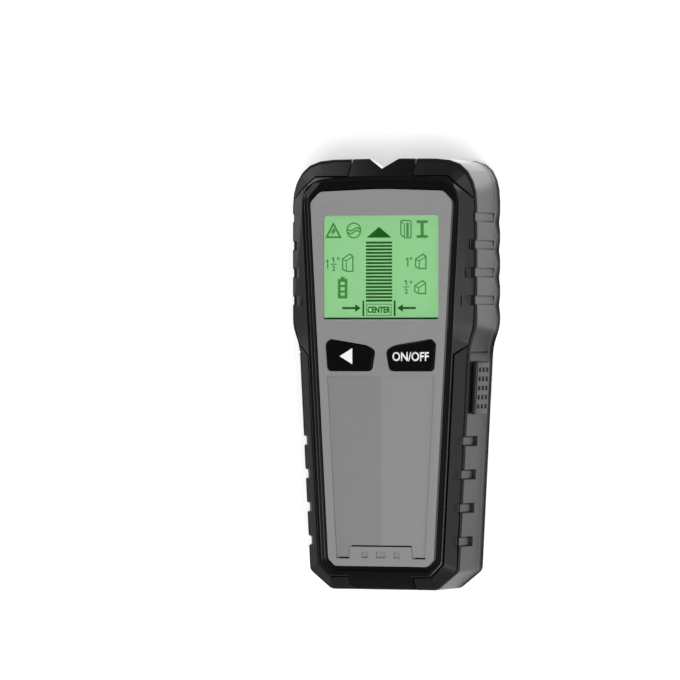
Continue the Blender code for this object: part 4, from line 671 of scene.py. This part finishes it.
# %% Places of the segments
DISPLAY_CENTRE = Vector((
    (cad_box[0].x + cad_box[1].x) / 2, sum(corner.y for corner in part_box("lcd_panel")) / 2))
DISPLAY_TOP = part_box("lcd_panel")[1].z
INK_GAP = 0.03 * MM
INK = 0.05 * MM
INK_SHIFT = -1.5
ARROWHEAD = [(-4.85, 10.9), (4.85, 10.9), (0, 14.75)]
BARS = 18
BAR_PITCH = 1.23
BAR_HEIGHT = 0.72
BAR_HALF_WIDTH = 5.1
BAR_FIRST = 9.1
GATE_NEAR, GATE_FAR = 5.75, 6.42
GATE_FOOT, GATE_HEAD = -17.4, -11.8
ARROW_Y = -14.5
SHAFT_NEAR, SHAFT_FAR = 9.2, 14.3
SHAFT_HALF_WIDTH = 0.38
TIP, BARB = 7.1, 9.3
BARB_HALF_WIDTH = 1.35


def on_display(points):
    """Points in millimetres from the middle of the drawing to places on the sheet."""
    return [(DISPLAY_CENTRE.x + (x + INK_SHIFT) * MM, DISPLAY_CENTRE.y + y * MM) for x, y in points]


def frame_points(left, low, right, high):
    """The four corners of a box."""
    return [(left, low), (right, low), (right, high), (left, high)]


def add_box(mesh, left, low, right, high):
    """A filled box."""
    add_patch(mesh, on_display(frame_points(left, low, right, high)))


print("centre of the display in mm:", [round(side / MM, 1) for side in DISPLAY_CENTRE])

# %% [markdown]
# Now the segments can be drawn. The bars are stacked from the top down, and the gate and the arrows
# are drawn once for each side. All of them are one mesh, because they share one ink.

# %% Display segments
strong = bmesh.new()
add_patch(strong, on_display(ARROWHEAD))
for number in range(BARS):
    y = BAR_FIRST - number * BAR_PITCH
    add_box(strong, -BAR_HALF_WIDTH, y - BAR_HEIGHT / 2, BAR_HALF_WIDTH, y + BAR_HEIGHT / 2)
for side in (-1, 1):
    left, right = sorted((side * GATE_NEAR, side * GATE_FAR))
    add_box(strong, left, GATE_FOOT, right, GATE_HEAD)
    left, right = sorted((side * SHAFT_NEAR, side * SHAFT_FAR))
    add_box(strong, left, ARROW_Y - SHAFT_HALF_WIDTH, right, ARROW_Y + SHAFT_HALF_WIDTH)
    add_patch(strong, on_display([
        (side * TIP, ARROW_Y), (side * BARB, ARROW_Y - BARB_HALF_WIDTH),
        (side * BARB, ARROW_Y + BARB_HALF_WIDTH)]))
piece = mark("display_bars", strong, DISPLAY_TOP + INK_GAP, INK, segment_dark, "housing")
print(piece.name, "faces:", len(piece.data.polygons))

# %% [markdown]
# Where the sheet meets the lower edge of the window, the real one shows a dark line: the shade in
# the gap between the pane and the plate. It is drawn as a narrow ink line on the sheet. The camera
# looks from the right and sees further under the plate on the left, so the line runs on there. It
# belongs to the window, so it is placed without the ink shift of the drawing.

# %% Window shade
window_low, window_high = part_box("lcd_panel")
WINDOW_INSET = 1.55
SHADE_FOOT = 0.70
SHADE_OVERLAP = 1.2
half_window = (window_high.x - window_low.x) / MM / 2 - WINDOW_INSET
half_height = (window_high.y - window_low.y) / MM / 2 - WINDOW_INSET
shade_line = bmesh.new()
middle = -INK_SHIFT
add_box(shade_line, middle - half_window - SHADE_OVERLAP, -half_height,
        middle + half_window, SHADE_FOOT - half_height)
piece = mark("window_shade", shade_line, DISPLAY_TOP + INK_GAP, INK, pane_shade, "housing")
print(piece.name, "is", [round(side / MM, 1) for side in piece.dimensions], "mm")

# %% [markdown]
# The smaller signs are drawn paler, as the segments that are not switched on: a bolt in a triangle
# for live wire, a circle with two waves, a split post for wood, a girder for metal, a battery, and
# a small post beside each of the three depths. Each needs only a few points, because none is much
# over six millimetres high.

# %% Points of the signs
LINE = 0.46
THIN_LINE = LINE * 0.8
TRIANGLE_LINE, ROUND_LINE, SPLIT_LINE, CELL_LINE, BOX_LINE = 0.7, 0.5, 0.9, 1.05, 0.3
FRONT_SHARE, TOP_SHARE, SLOPE = 0.36, 0.28, 0.42
TRIANGLE = [(-20.5, 11.15), (-15.1, 11.15), (-17.8, 16.0)]
BOLT = [(-17.1, 15.2), (-19.0, 12.7), (-18.0, 12.9), (-18.5, 11.5), (-16.4, 14.0), (-17.45, 13.85)]
CIRCLE_X, CIRCLE_Y, CIRCLE_RADIUS = -9.8, 13.55, 2.65
WAVES = (12.95, 13.95)
WAVE_REACH, WAVE_HEIGHT, WAVE_STEPS = 2.4, 0.55, 8
WOOD = [(8.5, 12.0), (9.9, 10.8), (12.4, 10.8), (12.4, 16.5), (11.8, 17.0), (8.9, 17.0), (8.5, 16.6)]
WOOD_FOLD = [(9.9, 10.8), (9.9, 15.6), (8.6, 16.4)]
WOOD_SPLIT = [(11.1, 11.2), (11.1, 16.2)]
GIRDER_FOOT, GIRDER_HEAD = 11.2, 16.5
FLANGE_LEFT, FLANGE_RIGHT, FLANGE_HALF = 14.6, 18.9, 0.5
WEB_LEFT, WEB_RIGHT = 16.15, 17.35
DEPTH_POSTS = ((14.2, -0.3, 4.0, 5.1), (13.9, -9.3, 4.2, 4.6), (-14.2, -1.2, 4.0, 6.2))
CELL = (-15.5, -10.5, -12.85, -4.5)
CELL_CAP = (-14.95, -4.1, -13.4, -3.2)
CELL_BARS = (-8.5, -6.5)
CELL_BAR_LEFT, CELL_BAR_RIGHT, CELL_BAR_HALF = -15.1, -13.3, 0.38
WORD_BOX = (-4.75, -17.1, 4.75, -13.1)


def round_points(x, y, radius, count=28):
    """Points on a circle."""
    turns = [2 * math.pi * step / count for step in range(count)]
    return [(x + radius * math.cos(turn), y + radius * math.sin(turn)) for turn in turns]


def add_stroke(mesh, points, width, closed=False):
    """A line on the display, in millimetres."""
    add_line(mesh, on_display(points), width * MM, closed)


def add_post(mesh, left, low, width, height):
    """A timber post seen from above its corner: a front face, a side face and a sloping top."""
    fold = left + width * FRONT_SHARE
    right = left + width
    high = low + height
    rise = width * SLOPE
    shoulder = (right, high - rise * 0.5)
    seam = (fold, high - rise * 1.4)
    outline = [(left, low + rise * 0.45), (fold, low), (right, low), shoulder,
               (right - width * TOP_SHARE, high), (left, high - rise)]
    add_stroke(mesh, outline, LINE, closed=True)
    add_stroke(mesh, [(fold, low), seam], THIN_LINE)
    add_stroke(mesh, [(left, high - rise * 1.15), seam, shoulder], THIN_LINE)


print("points of the bolt, the wood and its fold:", len(BOLT), len(WOOD), len(WOOD_FOLD))

# %% [markdown]
# All the signs go into one mesh, because they share one ink and never move apart. Shapes with an
# open middle are closed lines, and the bars of the girder and of the battery are filled boxes.

# %% Display signs
faint = bmesh.new()
add_stroke(faint, TRIANGLE, TRIANGLE_LINE, closed=True)
add_patch(faint, on_display(BOLT))
add_stroke(faint, round_points(CIRCLE_X, CIRCLE_Y, CIRCLE_RADIUS), ROUND_LINE, closed=True)
for level in WAVES:
    steps = [step / WAVE_STEPS for step in range(-WAVE_STEPS, WAVE_STEPS + 1)]
    wave = [(CIRCLE_X + WAVE_REACH * step, level + WAVE_HEIGHT * math.sin(math.pi * step))
            for step in steps]
    add_stroke(faint, wave, ROUND_LINE)
add_stroke(faint, WOOD, LINE, closed=True)
add_stroke(faint, WOOD_FOLD, THIN_LINE)
add_stroke(faint, WOOD_SPLIT, SPLIT_LINE)
for y in (GIRDER_HEAD, GIRDER_FOOT):
    add_box(faint, FLANGE_LEFT, y - FLANGE_HALF, FLANGE_RIGHT, y + FLANGE_HALF)
add_box(faint, WEB_LEFT, GIRDER_FOOT, WEB_RIGHT, GIRDER_HEAD)
for post in DEPTH_POSTS:
    add_post(faint, *post)
add_stroke(faint, frame_points(*CELL), CELL_LINE, closed=True)
add_box(faint, *CELL_CAP)
for y in CELL_BARS:
    add_box(faint, CELL_BAR_LEFT, y - CELL_BAR_HALF, CELL_BAR_RIGHT, y + CELL_BAR_HALF)
add_stroke(faint, frame_points(*WORD_BOX), BOX_LINE, closed=True)
piece = mark("display_signs", faint, DISPLAY_TOP + INK_GAP, INK, segment_faint, "housing")
print(piece.name, "faces:", len(piece.data.polygons))

# %% [markdown]
# The word and the twos are lettering, made bolder, and the word is squeezed sideways, as narrow
# display type is. The ones, the bars of the fractions and the inch marks are plain strokes. The
# fractions of an inch are stacked: a small one, a bar, a small two.

# %% Display words
TALL, SMALL = 3.2, 1.9
BOLD = 0.035
FRACTIONS = (("low", 10.6, -6.9), ("left", -17.7, 1.4))
ONES = ((11.2, 2.0, TALL), (10.6, -5.35, SMALL), (-20.0, 1.4, TALL), (-17.7, 2.95, SMALL))
STEM_HALF = 0.24
FLAG_TIP, FLAG_ROOT, FLAG_LINE = (0.75, 0.65), (0.2, 0.15), 0.36
INCH_MARKS = ((12.4, 3.3), (12.4, -5.2), (-15.9, 3.4))
INCH_HALF_GAP, INCH_HALF_WIDTH, INCH_HALF_HEIGHT = 0.28, 0.17, 0.55
RULE_HALF_LENGTH, RULE_HALF_WIDTH = 1.1, 0.2
TWO_BELOW_RULE = 1.5
WORDS = [("word_center", "CENTER", (0, -15.1), 2.35, 0.78, segment_dark)]
for place, x, y in FRACTIONS:
    WORDS.append((f"fraction_foot_{place}", "2", (x, y - TWO_BELOW_RULE), SMALL, 1.0, segment_faint))
for name, words, centre, size, squeeze, finish in WORDS:
    mesh = lettering(name, words, on_display([centre])[0], size * MM, squeeze, BOLD)
    mark(name, mesh, DISPLAY_TOP + INK_GAP, INK, finish, "housing")
rules = bmesh.new()
for x, y, height in ONES:
    top = y + height / 2
    add_box(rules, x - STEM_HALF, y - height / 2, x + STEM_HALF, top)
    add_stroke(rules, [(x - across, top - down) for across, down in (FLAG_TIP, FLAG_ROOT)], FLAG_LINE)
for x, y in INCH_MARKS:
    for side in (-INCH_HALF_GAP, INCH_HALF_GAP):
        add_box(rules, x + side - INCH_HALF_WIDTH, y - INCH_HALF_HEIGHT,
                x + side + INCH_HALF_WIDTH, y + INCH_HALF_HEIGHT)
for _, x, y in FRACTIONS:
    add_box(rules, x - RULE_HALF_LENGTH, y - RULE_HALF_WIDTH,
            x + RULE_HALF_LENGTH, y + RULE_HALF_WIDTH)
mark("display_numbers", rules, DISPLAY_TOP + INK_GAP, INK, segment_faint, "housing")
print("display words:", len(WORDS))

# %% [markdown]
# The two keys carry printed marks, a solid triangle on the left one and ON/OFF on the right one.
# The print is a skin of white ink that sinks a hair into the key's top, and it rides on the key,
# so it goes down with it.

# %% Key marks
KEY_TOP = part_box("power_button")[1].z
PRINT = 0.04 * MM
PRINT_BED = 0.01 * MM
ARROW_TRIANGLE = ((-15.75 * MM, 6.4 * MM), (-10.8 * MM, 3.5 * MM), (-10.8 * MM, 9.3 * MM))
ON_OFF_CENTRE = (11.85 * MM, 6.3 * MM)
ON_OFF_HEIGHT = 3.35 * MM
ON_OFF_SQUEEZE, ON_OFF_WEIGHT = 0.87, 0.022
arrow_mark = bmesh.new()
add_patch(arrow_mark, ARROW_TRIANGLE)
mark("arrow_mark", arrow_mark, KEY_TOP - PRINT_BED, PRINT, mark_white, "arrow_key")
words = lettering("on_off_mark", "ON/OFF", ON_OFF_CENTRE, ON_OFF_HEIGHT, ON_OFF_SQUEEZE, ON_OFF_WEIGHT)
piece = mark("on_off_mark", words, KEY_TOP - PRINT_BED, PRINT, mark_white, "power_key")
print(piece.name, "is", round(piece.dimensions.x / MM, 1), "mm wide")

# %% [markdown]
# The tool lies on a plain white floor, which goes on far past the picture. It keeps the soft
# shadow of the tool. A little light of its own, seen only by the camera and through the pane,
# lifts it to the white of the picture without lighting the tool. The side walls are seen at a low
# angle, so they mirror the floor beside them like a row of cards, and their greys are set by how
# bright that floor is: darker at the foot, dim under the slope of the waist, brightest round the
# top corners. Close to the tool the cards take a painted shade, as any floor darkens under an edge.

# %% Floor finish
CAMERA_LIFT = 0.36
FLOOR_WHITE = (0.88, 0.88, 0.88, 1)
CARDS = ((-70, 1.38), (3, 1.48), (8, 0.66), (13, 0.66), (15.5, 1.90), (67, 1.90), (74, 3.9),
         (86, 3.9), (92, 0.8))
FAR_CARDS = ((-10, 0.52), (25, 1.05))
NEAR_REACH = 55 * MM
FAR_REACH = 110 * MM
CONTACT = 3 * MM
CONTACT_POWER = 6.0


def stepped(tree, along, stops):
    """A smooth curve through a row of (place in millimetres, value) pairs."""
    level = stops[0][1]
    for (start, low), (end, high) in zip(stops, stops[1:]):
        step = put(tree, "ShaderNodeMapRange", {
            "Value": along, "From Min": start * MM, "From Max": end * MM, "To Max": high - low},
            interpolation_type="SMOOTHSTEP").outputs["Result"]
        level = put(tree, "ShaderNodeMath", {0: step, 1: level}, operation="ADD").outputs[0]
    return level


def floor_finish():
    """Matt white for the camera, and a row of cards for the glossy skins."""
    finish = bpy.data.materials.new("floor_white")
    finish.use_nodes = True
    tree = finish.node_tree
    shader = tree.nodes["Principled BSDF"]
    place = put(tree, "ShaderNodeTexCoord").outputs["Object"]
    parts = put(tree, "ShaderNodeSeparateXYZ", {"Vector": place})
    near = stepped(tree, parts.outputs["Y"], CARDS)
    far = stepped(tree, parts.outputs["Y"], FAR_CARDS)
    aside = put(tree, "ShaderNodeMath", {0: parts.outputs["X"]}, operation="ABSOLUTE").outputs[0]
    farness = put(tree, "ShaderNodeMapRange", {
        "Value": aside, "From Min": NEAR_REACH, "From Max": FAR_REACH}, interpolation_type="SMOOTHSTEP")
    card = put(tree, "ShaderNodeMix", {"Factor": farness.outputs["Result"], "A": near, "B": far})
    # painted contact shade: the cards' glow dims close to the tool, as shade would
    open_sky = put(tree, "ShaderNodeAmbientOcclusion", {"Distance": CONTACT}, samples=8).outputs["AO"]
    painted_contact_shade = put(tree, "ShaderNodeMath", {0: open_sky, 1: CONTACT_POWER}, operation="POWER")
    mirrored = put(tree, "ShaderNodeMath", {
        0: card.outputs["Result"], 1: painted_contact_shade.outputs[0]}, operation="MULTIPLY")
    path = put(tree, "ShaderNodeLightPath")
    straight = put(tree, "ShaderNodeMath", {
        0: path.outputs["Is Camera Ray"], 1: path.outputs["Is Transmission Ray"]}, operation="MAXIMUM")
    camera_part = put(tree, "ShaderNodeMath", {
        0: straight.outputs[0], 1: CAMERA_LIFT}, operation="MULTIPLY")
    lift = put(tree, "ShaderNodeMath", {
        0: path.outputs["Is Glossy Ray"], 1: mirrored.outputs[0], 2: camera_part.outputs[0]},
        operation="MULTIPLY_ADD")
    paint = put(tree, "ShaderNodeMix", {
        "Factor": path.outputs["Is Glossy Ray"], "A": FLOOR_WHITE, "B": (0, 0, 0, 1)}, data_type="RGBA")
    tree.links.new(lift.outputs[0], shader.inputs["Emission Strength"])
    tree.links.new(paint.outputs["Result"], shader.inputs["Base Color"])
    shader.inputs["Emission Color"].default_value = (1, 1, 1, 1)
    shader.inputs["Roughness"].default_value = 0.9
    shader.inputs["Specular IOR Level"].default_value = 0.0
    return finish


floor_white = floor_finish()
print(floor_white.name, "has", len(floor_white.node_tree.nodes), "nodes")

# %% [markdown]
# The floor itself is one large disc, a hair under the back of the tool, so that no two faces lie in
# one plane. It belongs to the picture and not to the tool.

# %% Floor
FLOOR_RADIUS = 6.0
FLOOR_DROP = 0.05 * MM
mesh = bmesh.new()
bmesh.ops.create_circle(mesh, cap_ends=True, segments=64, radius=FLOOR_RADIUS)
data = bpy.data.meshes.new("floor")
mesh.to_mesh(data)
mesh.free()
data.materials.append(floor_white)
floor = bpy.data.objects.new("floor", data)
floor.location.z = cad_box[0].z - FLOOR_DROP
bpy.context.scene.collection.objects.link(floor)
print("floor:", FLOOR_RADIUS, "m in radius, at", round(floor.location.z / MM, 2), "mm")

# %% [markdown]
# Black plastic shows what is around it more than it shows its own colour. So the room is set out
# as a photographer would: a pale wall on the right, which the right side of the rim reflects, a
# dimmer one on the left, and dark ones at the two ends, which keep the top and bottom of the rim
# black. Every face that looks straight up mirrors one spot of the ceiling, so that spot is dark
# too: it keeps the keys, the channel and the display ink deep. Only the camera sees plain white.

# %% Room light
RIGHT_WALL = 0.90
LEFT_WALL = 0.50
END_LIGHT = 0.06
CEILING_LIGHT = 0.85
DARK_SPOT_WAY = Vector((-math.sin(VIEW_FROM_RIGHT), 0, math.cos(VIEW_FROM_RIGHT)))
DARK_SPOT_LIGHT = 0.03
DARK_SPOT_EDGES = (math.cos(math.radians(36)), math.cos(math.radians(21)))


def room():
    """Pale side walls, dark end walls and a soft ceiling, all seen as white by the camera."""
    world = bpy.data.worlds.new("studio_room")
    world.use_nodes = True
    tree = world.node_tree
    background = tree.nodes["Background"]
    way = put(tree, "ShaderNodeTexCoord").outputs["Generated"]
    parts = put(tree, "ShaderNodeSeparateXYZ", {"Vector": way})
    across = put(tree, "ShaderNodeMapRange", {
        "Value": parts.outputs["X"], "From Min": -0.4, "From Max": 0.4, "To Min": LEFT_WALL,
        "To Max": RIGHT_WALL}, interpolation_type="SMOOTHSTEP")
    along = put(tree, "ShaderNodeMath", {0: parts.outputs["Y"]}, operation="ABSOLUTE")
    end = put(tree, "ShaderNodeMapRange", {
        "Value": along.outputs[0], "From Min": 0.35, "From Max": 0.75}, interpolation_type="SMOOTHSTEP")
    wall = put(tree, "ShaderNodeMix", {
        "Factor": end.outputs["Result"], "A": across.outputs["Result"], "B": END_LIGHT})
    up = put(tree, "ShaderNodeMapRange", {
        "Value": parts.outputs["Z"], "From Min": 0.6, "From Max": 0.95}, interpolation_type="SMOOTHSTEP")
    roof = put(tree, "ShaderNodeMix", {
        "Factor": up.outputs["Result"], "A": wall.outputs["Result"], "B": CEILING_LIGHT})
    nearness = put(tree, "ShaderNodeVectorMath", {0: way, 1: DARK_SPOT_WAY}, operation="DOT_PRODUCT")
    spot = put(tree, "ShaderNodeMapRange", {
        "Value": nearness.outputs["Value"], "From Min": DARK_SPOT_EDGES[0],
        "From Max": DARK_SPOT_EDGES[1]}, interpolation_type="SMOOTHSTEP")
    level = put(tree, "ShaderNodeMix", {
        "Factor": spot.outputs["Result"], "A": roof.outputs["Result"], "B": DARK_SPOT_LIGHT})
    path = put(tree, "ShaderNodeLightPath")
    shown = put(tree, "ShaderNodeMix", {
        "Factor": path.outputs["Is Camera Ray"], "A": level.outputs["Result"], "B": 1.0})
    tree.links.new(shown.outputs["Result"], background.inputs["Strength"])
    background.inputs["Color"].default_value = (1, 1, 1, 1)
    bpy.context.scene.world = world


room()
print("room light:", len(bpy.context.scene.world.node_tree.nodes), "nodes")

# %% [markdown]
# One broad lamp hangs high over the tool, a little towards its foot and its right side, where no
# large face mirrors it to the camera. A smaller lamp at the upper right shows as the grey of that
# corner of the rim. One panel close by, beyond the upper left corner, is there only to be
# mirrored: it fades along the glossy top of the rim.

# %% Lamps
def soft_lamp(name, place, size, brightness):
    """A flat lamp that faces the tool's middle. A brightness of 1 is white paper in full light."""
    data = bpy.data.lights.new(name, "AREA")
    data.shape = "RECTANGLE"
    data.size, data.size_y = size
    data.energy = brightness * math.pi * size[0] * size[1]
    lamp = bpy.data.objects.new(name, data)
    lamp.location = place
    lamp.rotation_mode = "QUATERNION"
    lamp.rotation_quaternion = Vector(place).to_track_quat("Z", "Y")
    lamp.visible_camera = False
    bpy.context.scene.collection.objects.link(lamp)
    return lamp


def from_way(way, distance):
    """A place in a direction from the tool's middle."""
    return Vector(way).normalized() * distance


soft_lamp("main_lamp", from_way((0.28, -0.36, 0.89), 1.6), size=(1.1, 1.1), brightness=4.9)
soft_lamp("corner_lamp", from_way((0.50, 0.62, 0.60), 1.0), size=(0.35, 0.35), brightness=2.6)
soft_lamp("top_panel", (-0.150, 0.200, 0.070), size=(0.12, 0.08), brightness=2.4)
